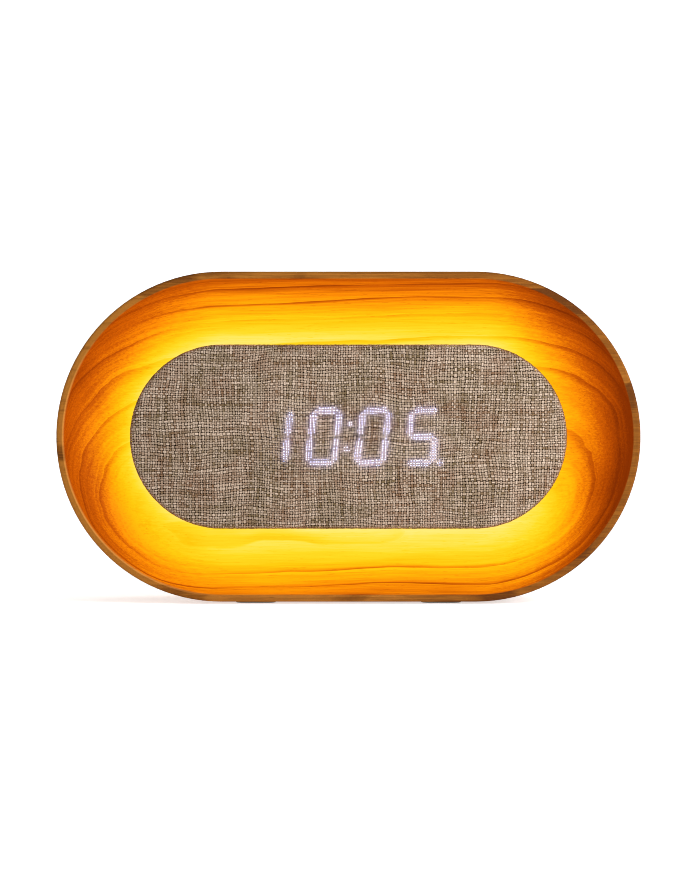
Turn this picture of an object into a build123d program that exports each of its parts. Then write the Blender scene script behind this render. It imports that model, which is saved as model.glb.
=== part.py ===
from build123d import *
import os
from math import atan, cos, degrees, radians, sin, tan

# A wooden alarm clock that is also a night light. A stadium-shaped block of wood has a shallow
# round-bottomed dish carved in its front. A panel wrapped in cloth stands in the middle of the
# dish, in front of a ring of warm LEDs, and a four-digit display shows through the cloth.
#
# Frame: millimetres, +X to the right as seen from the front, +Y into the clock, +Z up. The
# origin is on the table under the middle of the clock. The display looks along -Y.

# ---------------------------------------------------------------- driving dimensions

# wooden body
body_length = 200.0
body_height = 113.0
body_depth = 50.0
rim_width = 2.6
rim_round = 0.9
rim_arris = 0.4
back_round = 2.5
bowl_depth = 16.0
bowl_turn = 70.8
bowl_floor_width = 3.6
wood_floor = 7.0
neck_hole_gap = 0.8
pocket_wall = 11.5
rabbet_wall = 5.5
rabbet_depth = 4.0

# front panel and its cloth
panel_height = 62.6
panel_recess = 3.0
cloth_thickness = 0.6
plate_thickness = 3.0
panel_round = 2.0
hem_width = 5.2
ring_thickness = 1.6
ring_setback = 2.3
ring_clearance = 0.6
pilot_share = 0.8

# light core that carries the panel, the LEDs and the display
neck_inset = 7.3
neck_wall = 2.0
web_thickness = 2.0
flange_clearance = 2.0
flange_thickness = 2.5
strip_thickness = 0.3
strip_width = 7.0
led_length, led_width, led_thickness = 3.5, 2.8, 0.7
leds_per_side = 10
leds_per_end = 4
diffuser_gap = 0.4
diffuser_wall = 1.2
diffuser_clearance = 0.2

# display
module_width, module_height, module_depth = 70.0, 25.0, 8.0
module_setback = 0.1
module_clearance = 0.5
digit_pitch = 16.9
digit_half_width = 4.45
digit_half_height = 8.98
segment_width = 2.2
segment_gap = 0.22
segment_depth = 1.0
digit_slant = 7.0
colon_offset = 4.3
dot_radius = 1.05
point_offset = 1.7
pin_radius, pin_pitch, pin_reach, pins_per_row = 0.3, 5.0, 2.6, 7
pin_row_inset = 2.0
display_board_width, display_board_clearance = 71.0, 2.0
display_screw_inset = 4.5
display_standoff = 3.1
standoff_radius = 2.4
pin_hole_gap = 0.15
driver_width, driver_height, driver_thickness = 12.0, 6.0, 1.6
driver_edge = 0.3
ribbon_width, ribbon_thickness = 12.0, 0.3

# speaker, in the left part of the core
speaker_clearance = 0.7
speaker_opening = 12.5
speaker_radius = 14.8
speaker_ear = 17.3
speaker_ear_radius = 2.5
gasket_width, gasket_thickness = 1.0, 0.5
speaker_boss_gap = 0.1
speaker_flange = 1.0
speaker_lip = 0.9
basket_depth = 4.8
basket_wall = 0.8
basket_base_radius = 9.8
cone_rim, cone_neck, cone_depth, cap_rise = 10.4, 3.8, 3.4, 1.6
paper = 0.3
surround_roll = 0.8
surround_land = 1.6
former_length = 4.2
coil_wall, coil_length = 0.3, 2.0
coil_gap = 0.3
top_plate_thickness, magnet_thickness, yoke_thickness = 1.0, 3.0, 1.0
magnet_radius, steel_radius, magnet_bore_gap = 9.2, 8.6, 1.0
grille_hole = 0.8
grille_rings = ((3.0, 6), (6.0, 12), (9.0, 18))

# battery, on a tray across the back of the core
cell_length, cell_height, cell_thickness = 60.0, 34.0, 7.5
cell_clearance = 0.4
cell_round = 1.6
pad_thickness = 0.8
pad_inset = 4.0
tray_length, tray_thickness = 80.0, 1.5
tray_margin = 3.0
tray_lip, tray_lip_wall = 6.0, 1.2
tray_screw_x = 34.0
tray_slot_z, tray_slot_height = -20.8, 2.4

# back cover and what it carries
cover_thickness = 3.0
cover_clearance = 0.3
cover_edge = 0.5
cover_screw_inset = 3.1
vent_count, vent_pitch, vent_width, vent_height = 7, 3.2, 1.8, 22.0
vent_x = 72.0
board_gap = 6.5
board_thickness = 1.6
main_board_width, main_board_height = 112.0, 52.0
board_screw_inset = 5.0
boss_radius = 3.0
corner_round = 2.0
board_part_edge = 0.25
capacitor_radius, capacitor_height, capacitor_base, capacitor_base_size = 2.5, 5.4, 0.9, 5.3

# push buttons
button_names = ("set", "alarm", "plus", "minus", "light")
button_pitch = 14.0
button_z = 14.0
button_radius = 3.6
button_clearance = 0.3
button_proud = 0.8
button_flange_width, button_flange = 1.0, 0.8
button_play = 0.1
button_edge = 0.5
pusher_radius = 1.5
icon_depth = 0.25
switch_size, switch_height, switch_corner = 6.0, 3.5, 0.4
plunger_radius, plunger_reach = 1.7, 1.5
plunger_socket, plunger_bury = 1.6, 1.0
plunger_clearance = 0.15

# on/off slide switch
slide_x, slide_z = 30.0, -14.0
slide_travel = 2.5
slide_body_length, slide_body_height, slide_body_width, slide_corner = 11.0, 4.2, 3.6, 0.3
slide_knob_length, slide_knob_width = 3.2, 2.4
slide_knob_proud = 0.4
slide_slot_length, slide_slot_width = 7.2, 3.2
slide_neck_length, slide_neck_width = 1.8, 1.2
slide_bury = 1.0
slide_clearance = 0.3

# USB-C power socket
usb_x, usb_z = 0.0, -14.0
usb_length, usb_width, usb_wall = 8.94, 3.26, 0.3
usb_tongue_length, usb_tongue_width = 6.7, 0.7
usb_base = 1.6
usb_setback = 0.4
usb_clearance = 0.25

# fasteners, feet
small_screw_radius, small_head_radius, small_head_height = 0.95, 1.9, 1.3
small_pilot_radius, small_hole_radius = 1.0, 1.2
wood_screw_radius, wood_head_radius, wood_head_height, wood_screw_length = 1.3, 2.4, 1.6, 6.5
wood_pilot_radius, wood_hole_radius, wood_pilot_depth = 1.35, 1.6, 4.6
cover_screw_radius, cover_head_radius, cover_head_height, cover_screw_length = 1.2, 2.2, 1.4, 8.0
cover_hole_radius = 1.45
cover_sink_gap = 0.15
insert_radius, insert_bore, insert_length, insert_fit = 1.7, 1.25, 6.0, 0.03
recess_length_share, recess_width, recess_depth = 1.2, 0.5, 0.8
screw_tip_gap = 0.3
head_wall = 1.1
foot_length, foot_width, foot_thickness, foot_proud = 14.0, 36.0, 1.6, 0.8
foot_x = 32.0
foot_round = 3.0
foot_fit = 0.1
foot_edge = 0.3

# leads inside the case
wire_radius, wire_hole_gap = 0.45, 0.3
wire_spacing = 1.6
plug_length, plug_height, plug_thickness = 6.0, 4.6, 3.4
lead_corner = 3.0
socket_width, socket_height, socket_thickness = 15.0, 3.0, 2.0

# ---------------------------------------------------------------- sizes that follow

span = body_length - body_height  # between the centres of the two round ends
outer_radius = body_height / 2
axis_height = foot_proud + outer_radius
rim_radius = outer_radius - rim_width
panel_radius = panel_height / 2
neck_radius = panel_radius - neck_inset
core_radius = neck_radius - neck_wall
strip_radius = neck_radius + strip_thickness
led_radius = strip_radius + led_thickness
diffuser_inner = led_radius + diffuser_gap
diffuser_outer = diffuser_inner + diffuser_wall
neck_hole_radius = diffuser_outer + neck_hole_gap
bowl_floor_radius = neck_hole_radius + bowl_floor_width
bowl_run_radius = (rim_radius - bowl_floor_radius) / sin(radians(bowl_turn))
bowl_rise_radius = bowl_depth / (1 - cos(radians(bowl_turn)))
pocket_radius = outer_radius - pocket_wall
rabbet_radius = outer_radius - rabbet_wall
cover_radius = rabbet_radius - cover_clearance

front_y = -body_depth / 2
back_y = body_depth / 2
bowl_floor_y = front_y + bowl_depth
pocket_y = bowl_floor_y + wood_floor
ledge_y = back_y - rabbet_depth
cloth_y = front_y + panel_recess
plate_y = cloth_y + cloth_thickness
plate_back_y = plate_y + plate_thickness
hem_back_y = plate_back_y + cloth_thickness
ring_back_y = hem_back_y + ring_thickness
web_back_y = plate_back_y + web_thickness
flange_back_y = pocket_y + flange_thickness
plate_radius = panel_radius - cloth_thickness
flange_radius = pocket_radius - flange_clearance
strip_y = (ring_back_y + bowl_floor_y) / 2
flange_screw_radius = (neck_hole_radius + flange_radius) / 2
display_board_y = web_back_y + display_standoff
display_board_back_y = display_board_y + board_thickness
display_face_y = plate_y + module_setback
display_back_y = display_face_y + module_depth
display_board_height = 2 * (core_radius - display_board_clearance)
display_screw_x = display_board_width / 2 - display_screw_inset
display_screw_z = (module_height / 2 + module_clearance + display_board_height / 2) / 2
speaker_x = -(span / 2 + core_radius - speaker_radius - speaker_clearance)
speaker_y = web_back_y + gasket_thickness
basket_y = speaker_y + speaker_flange + basket_depth
tray_screw_z = (core_radius + flange_radius) / 2
tray_height = 2 * (tray_screw_z + tray_margin)
tray_back_y = flange_back_y + tray_thickness
cell_y = tray_back_y + pad_thickness
cell_back_y = cell_y + cell_thickness
cover_back_y = ledge_y + cover_thickness
board_back_y = ledge_y - board_gap
board_y = board_back_y - board_thickness
cover_screw_radius_at = cover_radius - cover_screw_inset
cover_sink_radius = cover_head_radius + cover_sink_gap
cover_sink_angle = 2 * degrees(atan((cover_head_radius - cover_screw_radius) / cover_head_height))
slant = tan(radians(digit_slant))

flange_screws = [(sx * span / 2, sz * flange_screw_radius) for sx in (-1, 1) for sz in (-1, 1)]
flange_screws += [(sx * (span / 2 + flange_screw_radius), 0) for sx in (-1, 1)]
cover_screws = [(sx * span / 2, sz * cover_screw_radius_at) for sx in (-1, 1) for sz in (-1, 1)]
cover_screws += [(sx * (span / 2 + cover_screw_radius_at), 0) for sx in (-1, 1)]
end_screw_z = core_radius - small_head_radius - head_wall
mid_screw_z = (module_height / 2 + core_radius) / 2
plate_screws = [(sx * span / 2, sz * end_screw_z) for sx in (-1, 1) for sz in (-1, 1)]
plate_screws += [(0, sz * mid_screw_z) for sz in (-1, 1)]
display_screws = [(sx * display_screw_x, sz * display_screw_z) for sx in (-1, 1) for sz in (-1, 1)]
tray_screws = [(sx * tray_screw_x, sz * tray_screw_z) for sx in (-1, 1) for sz in (-1, 1)]
board_screw_x = main_board_width / 2 - board_screw_inset
board_screw_z = main_board_height / 2 - board_screw_inset
board_screws = [(sx * board_screw_x, sz * board_screw_z) for sx in (-1, 1) for sz in (-1, 1)]
speaker_screws = [(speaker_x, sz * speaker_ear) for sz in (-1, 1)]
button_xs = [(i - (len(button_names) - 1) / 2) * button_pitch for i in range(len(button_names))]

os.makedirs("parts", exist_ok=True)


def facing(y):
    """A plane across the clock at depth y. Its normal points out of the front."""
    return Plane(origin=(0, y, axis_height), x_dir=(1, 0, 0), z_dir=(0, -1, 0))


def from_back(x, z, y):
    """Where a screw driven from the back has its seat: its head is towards +Y."""
    return Plane(origin=(x, y, axis_height + z), x_dir=(1, 0, 0), z_dir=(0, 1, 0)).location


def from_front(x, z, y):
    """Where a screw driven from the front side has its seat: its head is towards -Y."""
    return Plane(origin=(x, y, axis_height + z), x_dir=(1, 0, 0), z_dir=(0, -1, 0)).location


def stadium(radius, mode=Mode.ADD):
    """A stadium about the clock's axis, with the same end centres as the body."""
    return SlotOverall(span + 2 * radius, 2 * radius, mode=mode)


def section(x):
    """The plane x, seen from +X, whose local axes are the clock's Y and its height over the axis."""
    return Plane(origin=(x, 0, axis_height), x_dir=(0, 1, 0), z_dir=(1, 0, 0))


def save(piece, name):
    """Labels a finished piece and writes it as its own node."""
    piece.part.label = name
    export_step(piece.part, f"parts/{name}.step")


def pan_screw(radius, head_radius, head_height, length):
    """A cross-recessed pan-head screw. Its seat is at z = 0 and its head above."""
    with BuildPart() as screw:
        Cylinder(head_radius, head_height, align=(Align.CENTER, Align.CENTER, Align.MIN))
        fillet(screw.edges().sort_by(Axis.Z)[-1], head_height * 0.45)
        Cylinder(radius, length, align=(Align.CENTER, Align.CENTER, Align.MAX))
        chamfer(screw.edges().sort_by(Axis.Z)[0], radius * 0.4)
        with Locations((0, 0, head_height)):
            for turn in (0, 90):
                Box(
                    head_radius * recess_length_share,
                    recess_width,
                    recess_depth * 2,
                    rotation=(0, 0, turn),
                    mode=Mode.SUBTRACT,
                )
    return screw.part


def flat_screw(radius, head_radius, head_height, length):
    """A cross-recessed countersunk screw. The top of its head is at z = 0."""
    with BuildPart() as screw:
        Cone(radius, head_radius, head_height, align=(Align.CENTER, Align.CENTER, Align.MAX))
        Cylinder(radius, length, align=(Align.CENTER, Align.CENTER, Align.MAX))
        chamfer(screw.edges().sort_by(Axis.Z)[0], radius * 0.4)
        for turn in (0, 90):
            Box(
                head_radius * recess_length_share,
                recess_width,
                recess_depth * 2,
                rotation=(0, 0, turn),
                mode=Mode.SUBTRACT,
            )
    return screw.part


def wire_path(*points):
    """A lead's centreline through points given as (x, y, height over the axis)."""
    corners = [(x, y, axis_height + z) for x, y, z in points]
    radii = [lead_corner] * (len(corners) - 2)
    return FilletPolyline(*corners, radius=radii)


# ---------------------------------------------------------------- wooden body

# The hollow of the dish: a flat ring round the neck, then an arc that turns by bowl_turn degrees
# from the floor as it rises to the rim.
with BuildSketch() as bowl_half:
    with BuildLine():
        floor_line = Line((bowl_floor_y, 0), (bowl_floor_y, bowl_floor_radius))
        rise = EllipticalCenterArc(
            (bowl_floor_y - bowl_rise_radius, bowl_floor_radius),
            bowl_rise_radius,
            bowl_run_radius,
            arc_size=bowl_turn,
        )
        Polyline(rise @ 1, (front_y - rim_width, rim_radius), (front_y - rim_width, 0), floor_line @ 0)
    make_face()

with BuildPart() as bowl_space:
    with BuildSketch(section(-span / 2)):
        add(bowl_half.sketch)
        mirror(bowl_half.sketch, about=Plane.XZ)
    extrude(amount=span)
    for end_x in (-span / 2, span / 2):
        with BuildSketch(section(end_x)):
            add(bowl_half.sketch)
        revolve(axis=Axis((end_x, 0, axis_height), (0, 1, 0)))

with BuildPart() as wood_body:
    with BuildSketch(facing(back_y)):
        stadium(outer_radius)
    extrude(amount=body_depth)
    fillet(wood_body.faces().sort_by(Axis.Y)[-1].edges(), back_round)
    fillet(wood_body.faces().sort_by(Axis.Y)[0].edges(), rim_round)
    add(bowl_space.part, mode=Mode.SUBTRACT)
    rim_face = wood_body.faces().sort_by(Axis.Y)[0]
    fillet(rim_face.inner_wires()[0].edges(), rim_arris)
    with BuildSketch(facing(back_y)):
        stadium(neck_hole_radius)
    extrude(amount=body_depth, mode=Mode.SUBTRACT)
    with BuildSketch(facing(back_y)):
        stadium(pocket_radius)
    extrude(amount=back_y - pocket_y, mode=Mode.SUBTRACT)
    with BuildSketch(facing(back_y)):
        stadium(rabbet_radius)
    extrude(amount=rabbet_depth, mode=Mode.SUBTRACT)
    with BuildSketch(facing(ledge_y)):
        with Locations(*cover_screws):
            Circle(insert_radius + insert_fit)
    extrude(amount=insert_length, mode=Mode.SUBTRACT)
    with BuildSketch(facing(pocket_y)):
        with Locations(*flange_screws):
            Circle(wood_pilot_radius)
    extrude(amount=wood_pilot_depth, mode=Mode.SUBTRACT)
    with BuildSketch(Plane.XY.offset(foot_proud)):
        with Locations((-foot_x, 0), (foot_x, 0)):
            RectangleRounded(foot_length + 2 * foot_fit, foot_width + 2 * foot_fit, foot_round)
    extrude(amount=foot_thickness - foot_proud, mode=Mode.SUBTRACT)
save(wood_body, "wood_body")

with BuildPart() as rubber_feet:
    with BuildSketch(Plane.XY.offset(foot_thickness)):
        with Locations((-foot_x, 0), (foot_x, 0)):
            RectangleRounded(foot_length, foot_width, foot_round - foot_fit)
    extrude(amount=-foot_thickness)
    chamfer(rubber_feet.faces().group_by(Axis.Z)[0].edges(), foot_edge)
save(rubber_feet, "rubber_feet")

with BuildPart() as threaded_inserts:
    with BuildSketch(facing(ledge_y)):
        with Locations(*cover_screws):
            Circle(insert_radius)
            Circle(insert_bore, mode=Mode.SUBTRACT)
    extrude(amount=insert_length)
save(threaded_inserts, "threaded_inserts")

# ---------------------------------------------------------------- front panel

with BuildPart() as plate_outline:
    with BuildSketch(facing(plate_back_y)):
        stadium(plate_radius)
    extrude(amount=plate_thickness)
    fillet(plate_outline.faces().sort_by(Axis.Y)[0].edges(), panel_round - cloth_thickness)

with BuildPart() as cloth_cover:
    with BuildSketch(facing(hem_back_y)):
        stadium(panel_radius)
    extrude(amount=hem_back_y - cloth_y)
    fillet(cloth_cover.faces().sort_by(Axis.Y)[0].edges(), panel_round)
    add(plate_outline.part, mode=Mode.SUBTRACT)
    with BuildSketch(facing(hem_back_y)):
        stadium(panel_radius - hem_width)
    extrude(amount=cloth_thickness, mode=Mode.SUBTRACT)
save(cloth_cover, "cloth_cover")

with BuildPart() as front_plate:
    add(plate_outline.part)
    with BuildSketch(facing(plate_back_y)):
        Rectangle(module_width + 2 * module_clearance, module_height + 2 * module_clearance)
        with Locations((speaker_x, 0)):
            Circle(grille_hole)
            for ring_radius, holes in grille_rings:
                with PolarLocations(ring_radius, holes):
                    Circle(grille_hole)
    extrude(amount=plate_thickness, mode=Mode.SUBTRACT)
    with BuildSketch(facing(plate_back_y)):
        with Locations(*plate_screws):
            Circle(small_pilot_radius)
    extrude(amount=plate_thickness * pilot_share, mode=Mode.SUBTRACT)
save(front_plate, "front_plate")

with BuildPart() as cloth_ring:
    with BuildSketch(facing(ring_back_y)):
        stadium(panel_radius - ring_setback)
        stadium(neck_radius + ring_clearance, mode=Mode.SUBTRACT)
    extrude(amount=ring_thickness)
save(cloth_ring, "cloth_clamp_ring")

# ---------------------------------------------------------------- light core

lead_exits = [(span / 2 + (strip_radius + diffuser_inner) / 2, z * wire_spacing / 2) for z in (-1, 1)]

with BuildPart() as light_core:
    with BuildSketch(facing(flange_back_y)):
        stadium(flange_radius)
    extrude(amount=flange_thickness)
    with BuildSketch(facing(flange_back_y)):
        stadium(neck_radius)
    extrude(amount=flange_back_y - plate_back_y)
    with BuildSketch(facing(flange_back_y)):
        stadium(core_radius)
    extrude(amount=flange_back_y - web_back_y, mode=Mode.SUBTRACT)
    with BuildSketch(facing(display_board_y)):
        with Locations(*display_screws):
            Circle(standoff_radius)
    extrude(amount=display_standoff)
    with BuildSketch(facing(speaker_y)):
        with Locations(*speaker_screws):
            Circle(speaker_ear - speaker_radius - speaker_boss_gap)
    extrude(amount=gasket_thickness)
    with BuildSketch(facing(web_back_y)):
        Rectangle(module_width + 2 * module_clearance, module_height + 2 * module_clearance)
        with Locations((speaker_x, 0)):
            Circle(speaker_opening)
        with Locations(*plate_screws):
            Circle(small_hole_radius)
    extrude(amount=web_thickness, mode=Mode.SUBTRACT)
    with BuildSketch(facing(display_board_y)):
        with Locations(*display_screws):
            Circle(small_pilot_radius)
    extrude(amount=display_standoff + web_thickness / 2, mode=Mode.SUBTRACT)
    with BuildSketch(facing(speaker_y)):
        with Locations(*speaker_screws):
            Circle(small_pilot_radius)
    extrude(amount=gasket_thickness + web_thickness, mode=Mode.SUBTRACT)
    with BuildSketch(facing(flange_back_y)):
        with Locations(*flange_screws):
            Circle(wood_hole_radius)
        with Locations(*lead_exits):
            Circle(wire_radius + wire_hole_gap)
    extrude(amount=flange_thickness, mode=Mode.SUBTRACT)
    with BuildSketch(facing(flange_back_y)):
        with Locations(*tray_screws):
            Circle(small_pilot_radius)
    extrude(amount=flange_thickness * pilot_share, mode=Mode.SUBTRACT)
save(light_core, "light_core")

with BuildPart() as led_strip:
    with BuildSketch(facing(strip_y + strip_width / 2)):
        stadium(strip_radius)
        stadium(neck_radius, mode=Mode.SUBTRACT)
    extrude(amount=strip_width)
save(led_strip, "led_strip")

led_mid = strip_radius + led_thickness / 2
led_step = span / leds_per_side
led_turn = 180 / leds_per_end
with BuildPart() as led_chips:
    with BuildSketch(facing(strip_y + led_width / 2)):
        for side in (-1, 1):
            with Locations((0, side * led_mid)):
                with GridLocations(led_step, 1, leds_per_side, 1):
                    Rectangle(led_length, led_thickness)
            with Locations((side * span / 2, 0)):
                first = led_turn / 2 - 90 if side > 0 else led_turn / 2 + 90
                with PolarLocations(led_mid, leds_per_end, first, 180 - led_turn, endpoint=True):
                    Rectangle(led_thickness, led_length)
    extrude(amount=led_width)
save(led_chips, "led_chips")

with BuildPart() as light_diffuser:
    with BuildSketch(facing(pocket_y)):
        stadium(diffuser_outer)
        stadium(diffuser_inner, mode=Mode.SUBTRACT)
    extrude(amount=pocket_y - ring_back_y - diffuser_clearance)
save(light_diffuser, "light_diffuser")

# ---------------------------------------------------------------- display

# Each segment runs between two nodes of a two by three grid, in half widths and half heights.
segment_ends = {
    "top": ((-1, 1), (1, 1)),
    "upper_right": ((1, 1), (1, 0)),
    "lower_right": ((1, 0), (1, -1)),
    "bottom": ((-1, -1), (1, -1)),
    "lower_left": ((-1, 0), (-1, -1)),
    "upper_left": ((-1, 1), (-1, 0)),
    "middle": ((-1, 0), (1, 0)),
}
digit_segments = {
    0: ("top", "upper_right", "lower_right", "bottom", "lower_left", "upper_left"),
    1: ("upper_right", "lower_right"),
    5: ("top", "upper_left", "middle", "lower_right", "bottom"),
}
shown_digits = (1, 0, 0, 5)
digit_xs = [(i - 1.5) * digit_pitch for i in range(4)]


def segment_outline(digit_x, ends):
    """The six corners of one segment, leaning with the digit."""
    (x0, z0), (x1, z1) = [(column * digit_half_width, row * digit_half_height) for column, row in ends]
    length = max(abs(x1 - x0), abs(z1 - z0))
    ux, uz = (x1 - x0) / length, (z1 - z0) / length
    half = segment_width / 2
    stations = (
        (segment_gap, 0),
        (segment_gap + half, half),
        (length - segment_gap - half, half),
        (length - segment_gap, 0),
        (length - segment_gap - half, -half),
        (segment_gap + half, -half),
    )
    corners = [(x0 + ux * s - uz * t, z0 + uz * s + ux * t) for s, t in stations]
    return [(digit_x + x + z * slant, z) for x, z in corners]


lit_outlines, dark_outlines = [], []
for digit_x, digit in zip(digit_xs, shown_digits):
    for name, ends in segment_ends.items():
        outline = segment_outline(digit_x, ends)
        (lit_outlines if name in digit_segments[digit] else dark_outlines).append(outline)

colon_dots = [(side * colon_offset * slant, side * colon_offset) for side in (-1, 1)]
point_x = digit_half_width + segment_width / 2 + point_offset
point_dots = [(x + point_x - digit_half_height * slant, -digit_half_height) for x in digit_xs]
lit_dots, dark_dots = colon_dots + point_dots[-1:], point_dots[:-1]

for node, outlines, dots in (
    ("lit_segments", lit_outlines, lit_dots),
    ("dark_segments", dark_outlines, dark_dots),
):
    with BuildPart() as segments:
        with BuildSketch(facing(display_face_y + segment_depth)):
            for outline in outlines:
                Polygon(*outline, align=None)
            with Locations(*dots):
                Circle(dot_radius)
        extrude(amount=segment_depth)
    save(segments, node)

with BuildPart() as display_module:
    with BuildSketch(facing(display_back_y)):
        Rectangle(module_width, module_height)
    extrude(amount=module_depth)
    with BuildSketch(facing(display_face_y + segment_depth)):
        for outline in lit_outlines + dark_outlines:
            Polygon(*outline, align=None)
        with Locations(*lit_dots, *dark_dots):
            Circle(dot_radius)
    extrude(amount=segment_depth, mode=Mode.SUBTRACT)
save(display_module, "display_module")

pin_row_z = module_height / 2 - pin_row_inset
with BuildPart() as display_pins:
    with BuildSketch(facing(display_back_y + pin_reach)):
        with GridLocations(pin_pitch, 2 * pin_row_z, pins_per_row, 2):
            Circle(pin_radius)
    extrude(amount=pin_reach)
save(display_pins, "display_pins")

with BuildPart() as display_board:
    with BuildSketch(facing(display_board_back_y)):
        RectangleRounded(display_board_width, display_board_height, corner_round)
        with GridLocations(pin_pitch, 2 * pin_row_z, pins_per_row, 2):
            Circle(pin_radius + pin_hole_gap, mode=Mode.SUBTRACT)
        with Locations(*display_screws):
            Circle(small_hole_radius, mode=Mode.SUBTRACT)
    extrude(amount=board_thickness)
save(display_board, "display_board")

with BuildPart() as display_driver:
    with BuildSketch(facing(display_board_back_y + driver_thickness)):
        with Locations((-digit_pitch, 0)):
            Rectangle(driver_width, driver_height)
    extrude(amount=driver_thickness)
    chamfer(display_driver.faces().sort_by(Axis.Y)[-1].edges(), driver_edge)
save(display_driver, "display_driver_chip")

# ---------------------------------------------------------------- speaker

speaker_axis = Axis((speaker_x, 0, axis_height), (0, 1, 0))

with BuildPart() as speaker_gasket:
    with BuildSketch(facing(speaker_y)):
        with Locations((speaker_x, 0)):
            Circle(speaker_radius)
            Circle(speaker_radius - gasket_width, mode=Mode.SUBTRACT)
    extrude(amount=gasket_thickness)
save(speaker_gasket, "speaker_gasket")

basket_top = speaker_y + speaker_flange
top_plate_bore = cone_neck + coil_wall + coil_gap
with BuildPart() as speaker_frame:
    with BuildSketch(facing(basket_top)):
        with Locations((speaker_x, 0)):
            Circle(speaker_radius)
            SlotCenterToCenter(2 * speaker_ear, 2 * speaker_ear_radius, rotation=90)
            Circle(speaker_opening - speaker_lip, mode=Mode.SUBTRACT)
        with Locations(*speaker_screws):
            Circle(small_hole_radius, mode=Mode.SUBTRACT)
    extrude(amount=speaker_flange)
    with BuildSketch(section(speaker_x)):
        with BuildLine():
            Polyline(
                (basket_top - speaker_flange / 2, speaker_opening - speaker_lip),
                (basket_y - basket_wall, basket_base_radius - basket_wall),
                (basket_y - basket_wall, top_plate_bore),
                (basket_y, top_plate_bore),
                (basket_y, basket_base_radius),
                (basket_top - speaker_flange / 2, speaker_opening),
                close=True,
            )
        make_face()
    revolve(axis=speaker_axis)
save(speaker_frame, "speaker_frame")

magnet_y = basket_y + top_plate_thickness
yoke_y = magnet_y + magnet_thickness
for node, y0, thick, outer, inner in (
    ("speaker_top_plate", basket_y, top_plate_thickness, steel_radius, top_plate_bore),
    ("speaker_magnet", magnet_y, magnet_thickness, magnet_radius, top_plate_bore + magnet_bore_gap),
):
    with BuildPart() as washer:
        with BuildSketch(facing(y0 + thick)):
            with Locations((speaker_x, 0)):
                Circle(outer)
                Circle(inner, mode=Mode.SUBTRACT)
        extrude(amount=thick)
    save(washer, node)

pole_radius = cone_neck - paper - coil_gap
with BuildPart() as speaker_yoke:
    with BuildSketch(facing(yoke_y + yoke_thickness)):
        with Locations((speaker_x, 0)):
            Circle(steel_radius)
    extrude(amount=yoke_thickness)
    with BuildSketch(facing(yoke_y)):
        with Locations((speaker_x, 0)):
            Circle(pole_radius)
    extrude(amount=yoke_y - basket_y)
save(speaker_yoke, "speaker_yoke")

cone_neck_y = speaker_y + cone_depth
cap_base_y = cone_neck_y - 2 * paper
with BuildPart() as speaker_cone:
    with BuildSketch(section(speaker_x)):
        Polygon(
            (speaker_y, cone_rim),
            (cone_neck_y, cone_neck),
            (cap_base_y, cone_neck),
            (speaker_y - paper, cone_rim),
            align=None,
        )
        Polygon(
            (cap_base_y, cone_neck - paper),
            (cap_base_y, cone_neck),
            (cone_neck_y + former_length, cone_neck),
            (cone_neck_y + former_length, cone_neck - paper),
            align=None,
        )
    revolve(axis=speaker_axis)
    for cap_radius, rise, mode in (
        (cone_neck, cap_rise, Mode.ADD),
        (cone_neck - paper, cap_rise - paper, Mode.SUBTRACT),
    ):
        with BuildSketch(section(speaker_x)):
            with BuildLine():
                cap_base = Line((cap_base_y, 0), (cap_base_y, cap_radius))
                cap_top = (cap_base_y - rise, 0)
                RadiusArc(cap_base @ 1, cap_top, -(cap_radius**2 + rise**2) / (2 * rise))
                Line(cap_top, cap_base @ 0)
            make_face()
        revolve(axis=speaker_axis, mode=mode)
save(speaker_cone, "speaker_cone")

coil_y = basket_y + top_plate_thickness / 2
with BuildPart() as voice_coil:
    with BuildSketch(facing(coil_y + coil_length / 2)):
        with Locations((speaker_x, 0)):
            Circle(cone_neck + coil_wall)
            Circle(cone_neck, mode=Mode.SUBTRACT)
    extrude(amount=coil_length)
save(voice_coil, "voice_coil")

roll_mid = cone_rim + surround_roll
with BuildPart() as speaker_surround:
    with BuildSketch(section(speaker_x)):
        with BuildLine():
            land = Line(
                (speaker_y, roll_mid + surround_roll + surround_land),
                (speaker_y, roll_mid + surround_roll - paper),
            )
            inner_roll = ThreePointArc(
                land @ 1, (speaker_y - surround_roll + paper, roll_mid), (speaker_y, cone_rim + paper)
            )
            foot_line = Line(inner_roll @ 1, (speaker_y, cone_rim))
            step_line = Line(foot_line @ 1, (speaker_y - paper, cone_rim))
            outer_roll = ThreePointArc(
                step_line @ 1,
                (speaker_y - surround_roll - paper / 2, roll_mid),
                (speaker_y - paper, roll_mid + surround_roll),
            )
            top_line = Line(outer_roll @ 1, (speaker_y - paper, roll_mid + surround_roll + surround_land))
            Line(top_line @ 1, land @ 0)
        make_face()
    revolve(axis=speaker_axis)
save(speaker_surround, "speaker_surround")

# ---------------------------------------------------------------- battery

with BuildPart() as battery_tray:
    with BuildSketch(facing(tray_back_y)):
        RectangleRounded(tray_length, tray_height, corner_round)
        with Locations(*tray_screws):
            Circle(small_hole_radius, mode=Mode.SUBTRACT)
        with Locations((0, tray_slot_z)):
            Rectangle(ribbon_width + 2, tray_slot_height, mode=Mode.SUBTRACT)
    extrude(amount=tray_thickness)
    lip_inner_length = cell_length + 2 * cell_clearance
    lip_inner_height = cell_height + 2 * cell_clearance
    with BuildSketch(facing(tray_back_y + tray_lip)):
        Rectangle(lip_inner_length + 2 * tray_lip_wall, lip_inner_height + 2 * tray_lip_wall)
        Rectangle(lip_inner_length, lip_inner_height, mode=Mode.SUBTRACT)
        with Locations((lip_inner_length / 2, 0)):
            Rectangle(4 * tray_lip_wall, plug_height + wire_spacing, mode=Mode.SUBTRACT)
    extrude(amount=tray_lip)
save(battery_tray, "battery_tray")

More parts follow.
